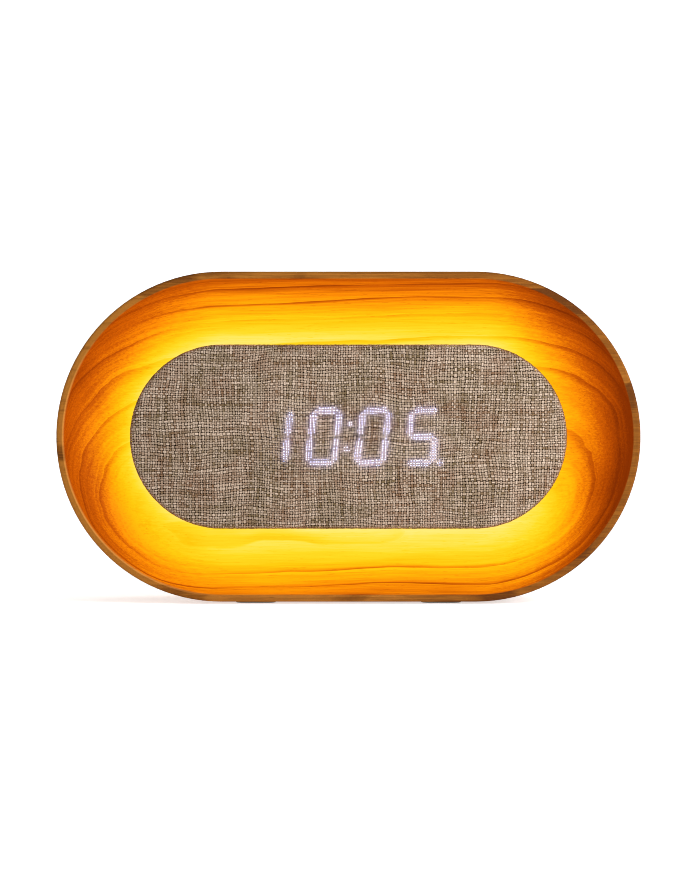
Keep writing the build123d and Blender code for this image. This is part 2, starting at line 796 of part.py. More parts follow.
with BuildPart() as battery_pad:
    with BuildSketch(facing(cell_y)):
        Rectangle(cell_length - 2 * pad_inset, cell_height - 2 * pad_inset)
    extrude(amount=pad_thickness)
save(battery_pad, "battery_foam_pad")

with BuildPart() as battery_cell:
    with BuildSketch(facing(cell_back_y)):
        Rectangle(cell_length, cell_height)
    extrude(amount=cell_thickness)
    fillet(battery_cell.edges().filter_by(Axis.Z), cell_round)
save(battery_cell, "battery_cell")

# ---------------------------------------------------------------- back cover

with BuildPart() as rear_cover:
    with BuildSketch(facing(cover_back_y)):
        stadium(cover_radius)
    extrude(amount=cover_thickness)
    chamfer(rear_cover.faces().sort_by(Axis.Y)[-1].edges(), cover_edge)
    with BuildSketch(facing(ledge_y)):
        with Locations(*board_screws):
            Circle(boss_radius)
    extrude(amount=board_gap)
    with BuildSketch(facing(board_back_y)):
        with Locations(*board_screws):
            Circle(small_pilot_radius)
    extrude(amount=-board_gap - cover_thickness / 3, mode=Mode.SUBTRACT)
    with BuildSketch(facing(cover_back_y)):
        with Locations(*[(x, button_z) for x in button_xs]):
            Circle(button_radius + button_clearance)
        with Locations((usb_x, usb_z)):
            SlotOverall(usb_length + 2 * usb_clearance, usb_width + 2 * usb_clearance)
        with Locations((slide_x, slide_z)):
            RectangleRounded(slide_slot_length, slide_slot_width, cover_edge)
        for side in (-1, 1):
            with Locations((side * vent_x, 0)):
                with GridLocations(vent_pitch, 1, vent_count, 1):
                    SlotOverall(vent_height, vent_width, rotation=90)
    extrude(amount=cover_thickness, mode=Mode.SUBTRACT)
    for x, z in cover_screws:
        with Locations(from_back(x, z, cover_back_y)):
            CounterSinkHole(cover_hole_radius, cover_sink_radius, cover_thickness * 2, cover_sink_angle)
save(rear_cover, "rear_cover")

with BuildPart() as main_board:
    with BuildSketch(facing(board_back_y)):
        RectangleRounded(main_board_width, main_board_height, corner_round)
        with Locations(*board_screws):
            Circle(small_hole_radius, mode=Mode.SUBTRACT)
    extrude(amount=board_thickness)
save(main_board, "main_board")


def engrave_icon(name):
    """The mark on a button's face, as sketch shapes in the open sketch."""
    if name == "set":
        Circle(1.6)
        Circle(1.15, mode=Mode.SUBTRACT)
        with Locations((0, 0.5), (0.3, 0)):
            Circle(0.25)
    if name == "alarm":
        RegularPolygon(1.6, 3, rotation=90)
    if name in ("plus", "minus"):
        Rectangle(3.0, 0.6)
    if name == "plus":
        Rectangle(0.6, 3.0)
    if name == "light":
        Circle(0.8)
        with PolarLocations(1.55, 8):
            Rectangle(0.6, 0.3)


button_back_y = cover_back_y + button_proud
flange_outer_y = ledge_y - button_play
flange_inner_y = flange_outer_y - button_flange
plunger_top_y = board_back_y + switch_height + plunger_reach
for name, x in zip(button_names, button_xs):
    with BuildPart() as cap:
        with BuildSketch(facing(button_back_y)):
            with Locations((x, button_z)):
                Circle(button_radius)
        extrude(amount=button_back_y - flange_inner_y)
        fillet(cap.faces().sort_by(Axis.Y)[-1].edges(), button_edge)
        with BuildSketch(facing(flange_outer_y)):
            with Locations((x, button_z)):
                Circle(button_radius + button_flange_width)
        extrude(amount=button_flange)
        with BuildSketch(facing(flange_inner_y)):
            with Locations((x, button_z)):
                Circle(pusher_radius)
        extrude(amount=flange_inner_y - plunger_top_y)
        with BuildSketch(facing(button_back_y)):
            with Locations((x, button_z)):
                engrave_icon(name)
        extrude(amount=icon_depth, mode=Mode.SUBTRACT)
    save(cap, f"button_{name}")
    with BuildPart() as plunger:
        with BuildSketch(facing(plunger_top_y)):
            with Locations((x, button_z)):
                Circle(plunger_radius)
        extrude(amount=plunger_reach + plunger_bury)
    save(plunger, f"plunger_{name}")

switch_top_y = board_back_y + switch_height
with BuildPart() as tact_switches:
    with BuildSketch(facing(switch_top_y)):
        with Locations(*[(x, button_z) for x in button_xs]):
            RectangleRounded(switch_size, switch_size, switch_corner)
    extrude(amount=switch_height)
    with BuildSketch(facing(switch_top_y)):
        with Locations(*[(x, button_z) for x in button_xs]):
            Circle(plunger_radius + plunger_clearance)
    extrude(amount=plunger_socket, mode=Mode.SUBTRACT)
save(tact_switches, "tact_switches")

slide_top_y = board_back_y + slide_body_width
knob_x = slide_x + slide_travel / 2
slide_hole_length = slide_neck_length + slide_travel + 2 * slide_clearance
with BuildPart() as slide_body:
    with BuildSketch(facing(slide_top_y)):
        with Locations((slide_x, slide_z)):
            RectangleRounded(slide_body_length, slide_body_height, slide_corner)
    extrude(amount=slide_body_width)
    with BuildSketch(facing(slide_top_y)):
        with Locations((slide_x, slide_z)):
            Rectangle(slide_hole_length, slide_neck_width + 2 * slide_clearance)
    extrude(amount=slide_bury + slide_clearance, mode=Mode.SUBTRACT)
save(slide_body, "power_switch_body")

knob_back_y = cover_back_y + slide_knob_proud
knob_front_y = slide_top_y + slide_clearance
with BuildPart() as slide_knob:
    with BuildSketch(facing(knob_back_y)):
        with Locations((knob_x, slide_z)):
            Rectangle(slide_knob_length, slide_knob_width)
    extrude(amount=knob_back_y - knob_front_y)
    with BuildSketch(facing(knob_front_y)):
        with Locations((knob_x, slide_z)):
            Rectangle(slide_neck_length, slide_neck_width)
    extrude(amount=knob_front_y - slide_top_y + slide_bury)
    with BuildSketch(facing(knob_back_y)):
        with Locations((knob_x, slide_z)):
            with GridLocations(slide_knob_length / 4, 1, 3, 1):
                Rectangle(slide_clearance, slide_knob_width)
    extrude(amount=icon_depth, mode=Mode.SUBTRACT)
save(slide_knob, "power_switch_knob")

usb_mouth_y = cover_back_y - usb_setback
with BuildPart() as usb_shell:
    with BuildSketch(facing(usb_mouth_y)):
        with Locations((usb_x, usb_z)):
            SlotOverall(usb_length, usb_width)
            SlotOverall(usb_length - 2 * usb_wall, usb_width - 2 * usb_wall, mode=Mode.SUBTRACT)
    extrude(amount=usb_mouth_y - board_back_y)
save(usb_shell, "usb_socket_shell")

with BuildPart() as usb_tongue:
    with BuildSketch(facing(board_back_y + usb_base)):
        with Locations((usb_x, usb_z)):
            SlotOverall(usb_length - 2 * usb_wall, usb_width - 2 * usb_wall)
    extrude(amount=usb_base)
    with BuildSketch(facing(usb_mouth_y - usb_tongue_width)):
        with Locations((usb_x, usb_z)):
            Rectangle(usb_tongue_length, usb_tongue_width)
    extrude(amount=usb_mouth_y - usb_tongue_width - board_back_y - usb_base)
save(usb_tongue, "usb_socket_tongue")

# What stands on the inner face of the main board: x, z, length, height, thickness.
board_parts = {
    "circuit_chips": (
        (-44.0, 8.0, 7.0, 7.0, 1.0),
        (-44.0, -4.0, 5.0, 4.0, 1.2),
        (40.0, -14.0, 5.0, 4.0, 1.2),
    ),
    "clock_crystal": ((-36.0, 16.0, 5.0, 3.2, 1.3),),
    "power_inductor": ((40.0, -20.0, 5.0, 5.0, 2.4),),
}
for node, blocks in board_parts.items():
    with BuildPart() as board_part:
        for block_x, block_z, block_length, block_height, block_thickness in blocks:
            with BuildSketch(facing(board_y)):
                with Locations((block_x, block_z)):
                    Rectangle(block_length, block_height)
            extrude(amount=block_thickness)
            chamfer(board_part.faces().sort_by(Axis.Y)[0].edges(), board_part_edge)
    save(board_part, node)

capacitor_places = ((46.0, 0.0), (46.0, -7.0))
with BuildPart() as capacitors:
    with BuildSketch(facing(board_y)):
        with Locations(*capacitor_places):
            Rectangle(capacitor_base_size, capacitor_base_size)
    extrude(amount=capacitor_base)
    with BuildSketch(facing(board_y)):
        with Locations(*capacitor_places):
            Circle(capacitor_radius)
    extrude(amount=capacitor_height)
save(capacitors, "capacitors")

# ---------------------------------------------------------------- leads inside the case

plug_front_y = board_y - plug_thickness
battery_plug = (40.0, 8.0)
speaker_plug = (-50.0, -14.0)
led_plug = (50.0, 10.0)
display_socket_z, board_socket_z = -16.0, tray_slot_z
with BuildPart() as board_connectors:
    with BuildSketch(facing(board_y)):
        with Locations(battery_plug, speaker_plug, led_plug):
            Rectangle(plug_length, plug_height)
    extrude(amount=plug_thickness)
    with BuildSketch(facing(board_y)):
        with Locations((0, board_socket_z)):
            Rectangle(socket_width, socket_height)
    extrude(amount=socket_thickness)
    with BuildSketch(facing(display_board_back_y + socket_thickness)):
        with Locations((0, display_socket_z)):
            Rectangle(socket_width, socket_height)
    extrude(amount=socket_thickness)
save(board_connectors, "board_connectors")

cell_mid_y = tray_back_y + tray_lip / 2
battery_starts = [(cell_length / 2, cell_mid_y, z * wire_spacing / 2) for z in (-1, 1)]
terminal_x = speaker_x - (speaker_opening + speaker_radius) / 2
speaker_starts = [(terminal_x, basket_top, z * wire_spacing / 2) for z in (-1, 1)]
led_starts = [(x, strip_y + strip_width / 2, z) for x, z in lead_exits]
leads = {
    "battery_lead": [
        (
            start,
            (battery_plug[0] - start[2], cell_mid_y, start[2]),
            (battery_plug[0] - start[2], cell_mid_y, battery_plug[1]),
            (battery_plug[0] - start[2], plug_front_y, battery_plug[1]),
        )
        for start in battery_starts
    ],
    "speaker_lead": [
        (
            start,
            (start[0], plug_front_y - 2 * lead_corner - start[2], start[2]),
            (speaker_plug[0] + start[2], plug_front_y - 2 * lead_corner - start[2], speaker_plug[1]),
            (speaker_plug[0] + start[2], plug_front_y, speaker_plug[1]),
        )
        for start in speaker_starts
    ],
    "led_lead": [
        (
            start,
            (start[0], plug_front_y - 2 * lead_corner - start[2], start[2]),
            (led_plug[0] - start[2], plug_front_y - 2 * lead_corner - start[2], led_plug[1]),
            (led_plug[0] - start[2], plug_front_y, led_plug[1]),
        )
        for start in led_starts
    ],
}
for node, routes in leads.items():
    with BuildPart() as lead:
        for route in routes:
            with BuildLine(mode=Mode.PRIVATE) as path:
                wire_path(*route)
            with BuildSketch(Plane(origin=path.line @ 0, z_dir=path.line % 0)):
                Circle(wire_radius)
            sweep(path=path.line)
    save(lead, node)

with BuildPart() as display_ribbon:
    with BuildSketch(section(0)):
        with BuildLine() as ribbon_line:
            FilletPolyline(
                (display_board_back_y + socket_thickness, display_socket_z),
                (display_board_back_y + socket_thickness + lead_corner, display_socket_z),
                (flange_back_y - lead_corner, board_socket_z),
                (board_y - socket_thickness, board_socket_z),
                radius=lead_corner / 2,
            )
        trace(line_width=ribbon_thickness)
    extrude(amount=ribbon_width / 2, both=True)
save(display_ribbon, "display_ribbon")

# ---------------------------------------------------------------- screws

plate_screw_length = web_thickness + plate_thickness * pilot_share
board_screw_length = board_thickness + board_gap
screw_sets = (
    ("front_plate_screws", plate_screws, web_back_y, plate_screw_length),
    ("display_board_screws", display_screws, display_board_back_y, board_thickness + display_standoff),
    ("speaker_screws", speaker_screws, basket_top, speaker_flange + gasket_thickness + web_thickness),
    ("battery_tray_screws", tray_screws, tray_back_y, tray_thickness + flange_thickness * pilot_share),
)
for node, places, seat_y, screw_length in screw_sets:
    small_screw = pan_screw(
        small_screw_radius, small_head_radius, small_head_height, screw_length - screw_tip_gap
    )
    with BuildPart() as screws:
        with Locations(*[from_back(x, z, seat_y) for x, z in places]):
            add(small_screw)
    save(screws, node)

main_screw = pan_screw(small_screw_radius, small_head_radius, small_head_height, board_screw_length)
with BuildPart() as main_board_screws:
    with Locations(*[from_front(x, z, board_y) for x, z in board_screws]):
        add(main_screw)
save(main_board_screws, "main_board_screws")

wood_screw = pan_screw(wood_screw_radius, wood_head_radius, wood_head_height, wood_screw_length)
with BuildPart() as core_screws:
    with Locations(*[from_back(x, z, flange_back_y) for x, z in flange_screws]):
        add(wood_screw)
save(core_screws, "light_core_screws")

cover_screw = flat_screw(cover_screw_radius, cover_head_radius, cover_head_height, cover_screw_length)
with BuildPart() as rear_cover_screws:
    with Locations(*[from_back(x, z, cover_back_y) for x, z in cover_screws]):
        add(cover_screw)
save(rear_cover_screws, "rear_cover_screws")
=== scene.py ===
"""Finishes a wooden alarm clock with a lit dish and a cloth front, ready to be pictured.

Lengths are in metres. The clock stands on z = 0, its front looks along -Y and +X is to its right.
"""

import logging
import math
from dataclasses import dataclass
from enum import Enum
from typing import Any, Callable, Protocol, Sequence, Union

import bpy
import numpy as np
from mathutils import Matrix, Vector


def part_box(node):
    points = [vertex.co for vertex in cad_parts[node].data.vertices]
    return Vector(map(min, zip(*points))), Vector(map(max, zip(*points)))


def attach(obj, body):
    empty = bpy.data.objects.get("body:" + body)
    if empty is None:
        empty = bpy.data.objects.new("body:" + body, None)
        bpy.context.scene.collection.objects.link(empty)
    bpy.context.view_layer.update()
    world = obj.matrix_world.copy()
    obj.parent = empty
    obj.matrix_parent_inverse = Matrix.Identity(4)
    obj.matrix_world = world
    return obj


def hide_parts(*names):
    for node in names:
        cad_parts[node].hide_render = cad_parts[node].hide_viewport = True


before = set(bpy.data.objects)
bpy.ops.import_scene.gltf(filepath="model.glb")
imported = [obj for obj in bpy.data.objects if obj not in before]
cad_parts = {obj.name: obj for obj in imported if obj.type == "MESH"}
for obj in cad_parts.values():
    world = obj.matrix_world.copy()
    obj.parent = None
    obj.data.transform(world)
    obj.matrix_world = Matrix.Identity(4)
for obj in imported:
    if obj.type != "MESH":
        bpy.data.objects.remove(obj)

log = logging.getLogger("clock")

MM = 0.001
Material = bpy.types.Material
Colour = tuple[float, float, float]
Stops = tuple[tuple[float, Colour], ...]
Operand = Union["Wire", float]


# ---- shader maths


def joined(operation: str, swapped: bool = False) -> Callable[["Wire", Operand], "Wire"]:
    """An operator of a wire and an operand.

    Args:
        operation: The Math node's operation.
        swapped: Whether the wire is the second of the two.

    Returns:
        The operator, as a method for Wire.
    """

    def method(wire: "Wire", other: Operand) -> "Wire":
        """One Math node on the wire and the operand."""
        pair = (other, wire) if swapped else (wire, other)
        return wire.math(operation, *pair)

    return method


class Wire:
    """The output of a shader node, with the operators that make shader maths read as maths."""

    __add__, __radd__ = joined("ADD"), joined("ADD", swapped=True)
    __sub__, __rsub__ = joined("SUBTRACT"), joined("SUBTRACT", swapped=True)
    __mul__, __rmul__ = joined("MULTIPLY"), joined("MULTIPLY", swapped=True)
    __truediv__, __rtruediv__ = joined("DIVIDE"), joined("DIVIDE", swapped=True)
    __pow__, __gt__, __lt__ = joined("POWER"), joined("GREATER_THAN"), joined("LESS_THAN")
    least, most = joined("MINIMUM"), joined("MAXIMUM")

    def __init__(self, recipe: "Recipe", socket: bpy.types.NodeSocket) -> None:
        """Keeps the recipe that new nodes join, and the socket that this wire leaves."""
        self.recipe = recipe
        self.socket = socket

    def math(self, operation: str, *operands: Operand) -> "Wire":
        """One Math node on these operands."""
        return self.recipe.add("Math", {"operation": operation}, dict(enumerate(operands)))

    def __abs__(self) -> "Wire":
        """This without its sign."""
        return self.math("ABSOLUTE", self)

    def floor(self) -> "Wire":
        """The whole number below."""
        return self.math("FLOOR", self)

    def fraction(self) -> "Wire":
        """What is left above the whole number."""
        return self.math("FRACT", self)

    def sine(self) -> "Wire":
        """The sine, for an angle in radians."""
        return self.math("SINE", self)

    def smooth(self, low: float, high: float, start: float = 0.0, end: float = 1.0) -> "Wire":
        """An S-shaped step.

        Args:
            low: Value where the step starts.
            high: Value where the step ends.
            start: Result at low and below.
            end: Result at high and above.

        Returns:
            The stepped value.
        """
        return self.recipe.add(
            "MapRange",
            {"interpolation_type": "SMOOTHSTEP"},
            {"Value": self, "From Min": low, "From Max": high, "To Min": start, "To Max": end},
        )


class Recipe:
    """A material while its nodes are laid."""

    def __init__(self, name: str) -> None:
        """Starts an empty material of that name."""
        self.material = bpy.data.materials.new(name)
        self.material.use_nodes = True
        self.tree = self.material.node_tree
        self.tree.nodes.clear()

    def add(
        self,
        kind: str,
        settings: dict[str, Any] | None = None,
        inputs: dict[int | str, Any] | None = None,
        output: int | str = 0,
    ) -> Wire:
        """Adds one node.

        Args:
            kind: The node's type, without the words ShaderNode.
            settings: Its properties, set first. "stops" are a ramp's (place, colour) pairs.
            inputs: Values or wires for its sockets, by name or number.
            output: The output to return.

        Returns:
            The wire that leaves the chosen output.
        """
        node = self.tree.nodes.new("ShaderNode" + kind)
        for name, value in (settings or {}).items():
            if name == "stops":
                stops = node.color_ramp.elements
                while len(stops) < len(value):
                    stops.new(1.0)
                for stop, (place, colour) in zip(stops, value):
                    stop.position = place
                    stop.color = (*colour, 1.0)
            else:
                setattr(node, name, value)
        for key, value in (inputs or {}).items():
            socket = node.inputs[key]
            if isinstance(value, Wire):
                self.tree.links.new(value.socket, socket)
            elif socket.type == "RGBA" and len(value) == 3:
                socket.default_value = (*value, 1.0)
            else:
                socket.default_value = value
        return Wire(self, node.outputs[output])

    def place(self) -> Wire:
        """The place on the object, as a vector in millimetres."""
        return self.even(self.add("TexCoord", output="Object"), 1 / MM)

    def scaled(self, vector: Wire, x: float, y: float, z: float) -> Wire:
        """A vector stretched along each axis."""
        return self.add("VectorMath", {"operation": "MULTIPLY"}, {0: vector, 1: (x, y, z)})

    def even(self, vector: Wire, factor: float) -> Wire:
        """A vector stretched alike along all axes."""
        return self.scaled(vector, factor, factor, factor)

    def parts(self, vector: Wire) -> tuple[Wire, Wire, Wire]:
        """A vector's three parts."""
        split = self.add("SeparateXYZ", inputs={0: vector})
        return tuple(Wire(self, out) for out in split.socket.node.outputs)

    def join(self, x: Operand, y: Operand, z: Operand = 0.0) -> Wire:
        """A vector from three parts."""
        return self.add("CombineXYZ", inputs={0: x, 1: y, 2: z})

    def noise(self, vector: Wire, detail: float = 2.0, roughness: float = 0.5) -> Wire:
        """Smooth noise about 0.5, one lump per unit of the vector."""
        inputs = {"Vector": vector, "Scale": 1.0, "Detail": detail, "Roughness": roughness}
        return self.add("TexNoise", inputs=inputs)

    def chance(self, vector: Wire) -> Wire:
        """An even random number from 0 to 1 for each value of the vector."""
        return self.add("TexWhiteNoise", inputs={"Vector": vector})

    def cells(self, vector: Wire) -> Wire:
        """The distance from the nearest of the scattered cell centres, one per unit."""
        return self.add("TexVoronoi", {"feature": "F1"}, {"Vector": vector, "Scale": 1.0})

    def ramp(self, value: Wire, stops: Stops) -> Wire:
        """A colour ramp over 0 to 1."""
        return self.add("ValToRGB", {"stops": stops}, {0: value})

    def mix(self, first: Any, second: Any, factor: Operand, blend: str = "MIX") -> Wire:
        """A mix of two colours.

        Args:
            first: Colour or wire at factor 0.
            second: Colour or wire at factor 1.
            factor: How far the mix goes to the second.
            blend: The blend type of the Mix node.

        Returns:
            The mixed colour.
        """
        settings = {"data_type": "RGBA", "blend_type": blend}
        return self.add("Mix", settings, {0: factor, 6: first, 7: second}, output=2)

    def shade(self, colour: Any, level: Wire) -> Wire:
        """A colour dimmed by a level from 0 to 1."""
        return self.mix((0.0, 0.0, 0.0), colour, level)

    def bump(self, height: Wire, depth: float, strength: float = 1.0) -> Wire:
        """A normal from a height map.

        Args:
            height: Height from 0 to 1.
            depth: How deep a whole step of height is, in millimetres.
            strength: Share of the effect.

        Returns:
            The bumped normal.
        """
        inputs = {"Height": height, "Distance": depth * MM, "Strength": strength}
        return self.add("Bump", inputs=inputs)

    def surface(self, sockets: dict[str, Any]) -> Material:
        """Ends the recipe with a Principled shader.

        Args:
            sockets: Wires for what changes over the surface, values for what doesn't.

        Returns:
            The finished material.
        """
        return self.end(self.add("BsdfPrincipled", inputs=sockets))

    def end(self, shader: Wire) -> Material:
        """Ends the recipe with any shader and returns the finished material."""
        output = self.tree.nodes.new("ShaderNodeOutputMaterial")
        self.tree.links.new(shader.socket, output.inputs["Surface"])
        return self.material


class Finish(Protocol):
    """What every finish can do."""

    def make(self) -> Material:
        """Lays the finish as a new material."""


# ---- the clock's outline


@dataclass(frozen=True)
class Stadium:
    """The outline that every part of the front follows: all points within a reach of a level line.

    Attributes:
        half_span: Half the length of the line between the centres of the round ends.
        height: Height of that line over the table.
    """

    half_span: float
    height: float

    @classmethod
    def of_node(cls, node: str) -> tuple["Stadium", float]:
        """The stadium that a node's outline follows.

        Args:
            node: Name of a stadium-shaped node.

        Returns:
            The stadium and the reach of the node's edge.
        """
        low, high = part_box(node)
        reach = (high.z - low.z) / 2
        return cls((high.x - low.x) / 2 - reach, (high.z + low.z) / 2), reach

    def ring(self, count: int) -> tuple[np.ndarray, np.ndarray, np.ndarray]:
        """Places round the line, as many on each straight side as on each round end.

        A place on a straight side has its foot under it on the line and an upright normal. A place
        on a round end has its foot on the end of the line and a normal that turns with it.

        Args:
            count: Places on half a side or half an end.

        Returns:
            The feet's x, and the normals' x and z.
        """
        side = np.linspace(-self.half_span, self.half_span, 2 * count, endpoint=False)
        turn = np.linspace(0, math.pi, 2 * count, endpoint=False)
        end = np.full(turn.size, self.half_span)
        foot = np.concatenate([side, end, -side, -end])
        angle = np.concatenate([np.zeros(side.size), turn, np.full(side.size, math.pi), math.pi + turn])
        return foot, np.sin(angle), np.cos(angle)

    def measures(self, x: Wire, z: Wire) -> tuple[Wire, Wire, Wire]:
        """How far a point is from the line, and in which direction.

        Args:
            x: The point's x in millimetres.
            z: The point's height in millimetres.

        Returns:
            The reach in millimetres, and the direction's x and z.
        """
        past = (abs(x) - self.half_span / MM).most(0.0)
        over = z - self.height / MM
        reach = (past * past + over * over) ** 0.5
        side = (x > 0.0) * 2.0 - 1.0
        return reach, past * side / reach.most(0.001), over / reach.most(0.001)


# ---- finishes


@dataclass(frozen=True)
class Glow:
    """The warm light that the dish holds, as the natural logarithm of its brightness.

    It fades from the panel's edge to the rim, is stronger on the long sides than at the round
    ends, strongest below the panel and weakest at the right end.

    Attributes:
        outline: The line that the dish runs round.
        inner, outer: Reach of the panel's edge and of the dish's.
        floor_y: Where the bottom of the dish is.
        side_peak, side_fade: The logarithm beside the long sides, and what it loses to the rim.
        end_peak, end_fade: The same at the round ends.
        side_power, top_power: How sharply the sides are told from the ends, and how much more
            sharply at the top.
        low_gain: What the side below gains in peak, and is spared in fade.
        peak_lean, fade_lean: What the right end lacks in each, and the left one gains.
        bend, bend_lean: The fade's power of the way, and what that gains at the right end.
        darkest, brightest: The logarithm at either end of the colours.
        colours: The light's colours between those two.
    """

    outline: Stadium
    inner: float
    outer: float
    floor_y: float
    side_peak: float = 1.85
    side_fade: float = 2.3
    end_peak: float = 1.15
    end_fade: float = 2.35
    side_power: float = 4.2
    top_power: float = 3.0
    low_gain: float = 0.10
    peak_lean: float = 0.79
    fade_lean: float = 0.45
    bend: float = 0.95
    bend_lean: float = 0.45
    darkest: float = -1.4
    brightest: float = 2.0
    colours: Stops = (
        (0.0, (0.17, 0.020, 0.0)),
        (0.16, (0.35, 0.052, 0.0)),
        (0.27, (0.54, 0.100, 0.0005)),
        (0.38, (0.84, 0.225, 0.001)),
        (0.53, (1.0, 0.46, 0.002)),
        (0.62, (1.0, 0.59, 0.004)),
        (0.74, (1.0, 0.71, 0.018)),
        (0.86, (1.0, 0.79, 0.085)),
        (0.95, (1.0, 0.84, 0.19)),
    )

    def field(self, x: Wire, y: Wire, z: Wire) -> tuple[Wire, Wire, Wire]:
        """How the light lies over the dish.

        The logarithm is a peak less a fade times a power of the way from the panel's edge to the
        rim. Peak and fade go from their values at the ends to those of the sides by a power of the
        upright part of the direction from the outline's middle line. The rounded edge between the
        dish and the rim catches light on the left and below.

        Args:
            x: Across, in millimetres.
            y: Depth, in millimetres.
            z: Height, in millimetres.

        Returns:
            The logarithm, 1 inside the dish and 0 outside, and 1 where the rounded edge is lit.
        """
        reach, out_x, out_z = self.outline.measures(x, z)
        edge, floor = self.outer / MM, self.floor_y / MM
        way = ((reach - self.inner / MM) / ((self.outer - self.inner) / MM)).most(0.0).least(1.0)
        side = abs(out_z) ** (out_z * self.top_power + self.side_power)
        end_peak = self.end_peak - out_x * self.peak_lean
        end_fade = self.end_fade - out_x * self.fade_lean
        peak = end_peak + side * (self.side_peak - out_z * self.low_gain - end_peak)
        fade = end_fade + side * (self.side_fade + out_z * self.low_gain - end_fade)
        inside = reach.smooth(edge + 0.40, edge - 0.10)
        shallow = y.smooth(floor + 0.6, floor + 0.1)
        line = reach.smooth(edge - 0.25, edge + 0.2) * reach.smooth(edge + 0.8, edge + 0.4)
        lit_line = line * shallow * (0.0 - out_x * 0.9 - out_z * 0.45).smooth(0.35, 0.85)
        logarithm = peak - way ** (out_x * self.bend_lean + self.bend) * fade
        return logarithm, inside * shallow, lit_line

    def colour(self, recipe: Recipe, logarithm: Wire) -> Wire:
        """The light's colour for a logarithm of its brightness."""
        return recipe.ramp((logarithm - self.darkest) / (self.brightest - self.darkest), self.colours)


@dataclass(frozen=True)
class OiledWood:
    """Oiled open-grained wood, a solid pattern: growth rings, fibres and pores that run along X.

    The rings are wide cylinders about a far pith, so the dish cuts them into lines that run round it.
    Where the dish's light falls, painted shade leaves little of the wood's own colour.
    """

    glow: Glow
    light: Colour = (0.275, 0.104, 0.016)
    mid: Colour = (0.168, 0.057, 0.008)
    dark: Colour = (0.082, 0.025, 0.005)
    # painted shade: colour multiplied into the wood inside the dish
    dish_shade: Colour = (0.30, 0.12, 0.0)
    edge_light: Colour = (0.55, 0.21, 0.045)
    edge_share: float = 0.55
    ring_pitch: float = 7.0
    pith_y: float = 96.0
    pith_z: float = 22.0
    pith_slope: float = 0.045

    def make(self) -> Material:
        """Lays the rings, fibres and pores, painted shade in the dish and towards the right, and the light
        that the dish holds.
        """
        r = Recipe("oiled_wood")
        place = r.place()
        x, y, z = r.parts(place)
        drift = r.noise(r.scaled(place, 0.009, 0.02, 0.02), 1.0) - 0.5
        ripple = r.noise(r.scaled(place, 0.03, 0.09, 0.09), 2.0) - 0.5
        over_pith = z - x * self.pith_slope - self.pith_z
        from_pith = ((y - self.pith_y) ** 2.0 + over_pith**2.0) ** 0.5
        ring = from_pith / self.ring_pitch + drift * 2.4 + ripple * 0.4
        phase = ring.fraction()
        boldness = r.noise(r.join(ring.floor() * 3.7, x * 0.02, z * 0.03), 1.0).smooth(0.35, 0.65, 0.15)
        late = phase.smooth(0.80, 0.96) * phase.smooth(1.0, 0.975) * boldness
        contour = r.noise(r.join(ring * 9.0, x * 0.016, z * 0.03), 3.0, 0.65)
        broad = r.noise(r.join(ring * 2.2, x * 0.012, z * 0.012), 1.0)
        fibre = r.noise(r.scaled(place, 0.05, 1.9, 1.9), 4.0, 0.65)
        patch = r.noise(r.scaled(place, 0.018, 0.05, 0.05), 1.0)
        pore = r.noise(r.scaled(place, 0.28, 4.6, 4.6), 1.0).smooth(0.66, 0.73)
        logarithm, inside, line = self.glow.field(x, y, z)
        outside_dish = 1.0 - inside
        stain = r.noise(r.join(ring * 1.1, x * 0.022, z * 0.012 + 5.0), 2.0).smooth(0.53, 0.62) * outside_dish
        tone = (
            0.86
            - late * (0.62 - abs(x) * 0.0046)
            - stain * 0.62
            - phase * 0.10
            - (contour - 0.5) * 0.50
            - (broad - 0.5) * 0.5
            - (fibre - 0.5) * (outside_dish * 0.9 + 0.70)
            - (patch - 0.5) * 0.45
            # painted shade: darker towards the right, more so outside the dish
            - x * (outside_dish * 0.0028 + 0.0006)
            - pore * 0.26
        )
        tone = tone.most(0.0).least(1.0)
        colour = r.ramp(tone, ((0.0, self.dark), (0.55, self.mid), (1.0, self.light)))
        # painted shade: inside the dish the wood's own colour is darkened and its blue taken out
        dish_shaded = r.mix(colour, r.mix(colour, self.dish_shade, 1.0, "MULTIPLY"), inside)
        uneven = r.noise(r.scaled(place, 0.022, 0.05, 0.05), 1.0) - 0.5
        seen = logarithm + (tone - 0.79) * 1.2 + uneven * 0.5
        lit = r.shade(self.glow.colour(r, seen), inside)
        height = tone * 0.6 - pore
        return r.surface({
            "Base Color": dish_shaded,
            "Roughness": 0.50 + (1.0 - tone) * 0.22,
            "Normal": r.bump(height, 0.05, 0.7),
            "Emission Color": r.mix(lit, self.edge_light, line * self.edge_share),
            "Emission Strength": 1.0, "Specular IOR Level": 0.02,
        })


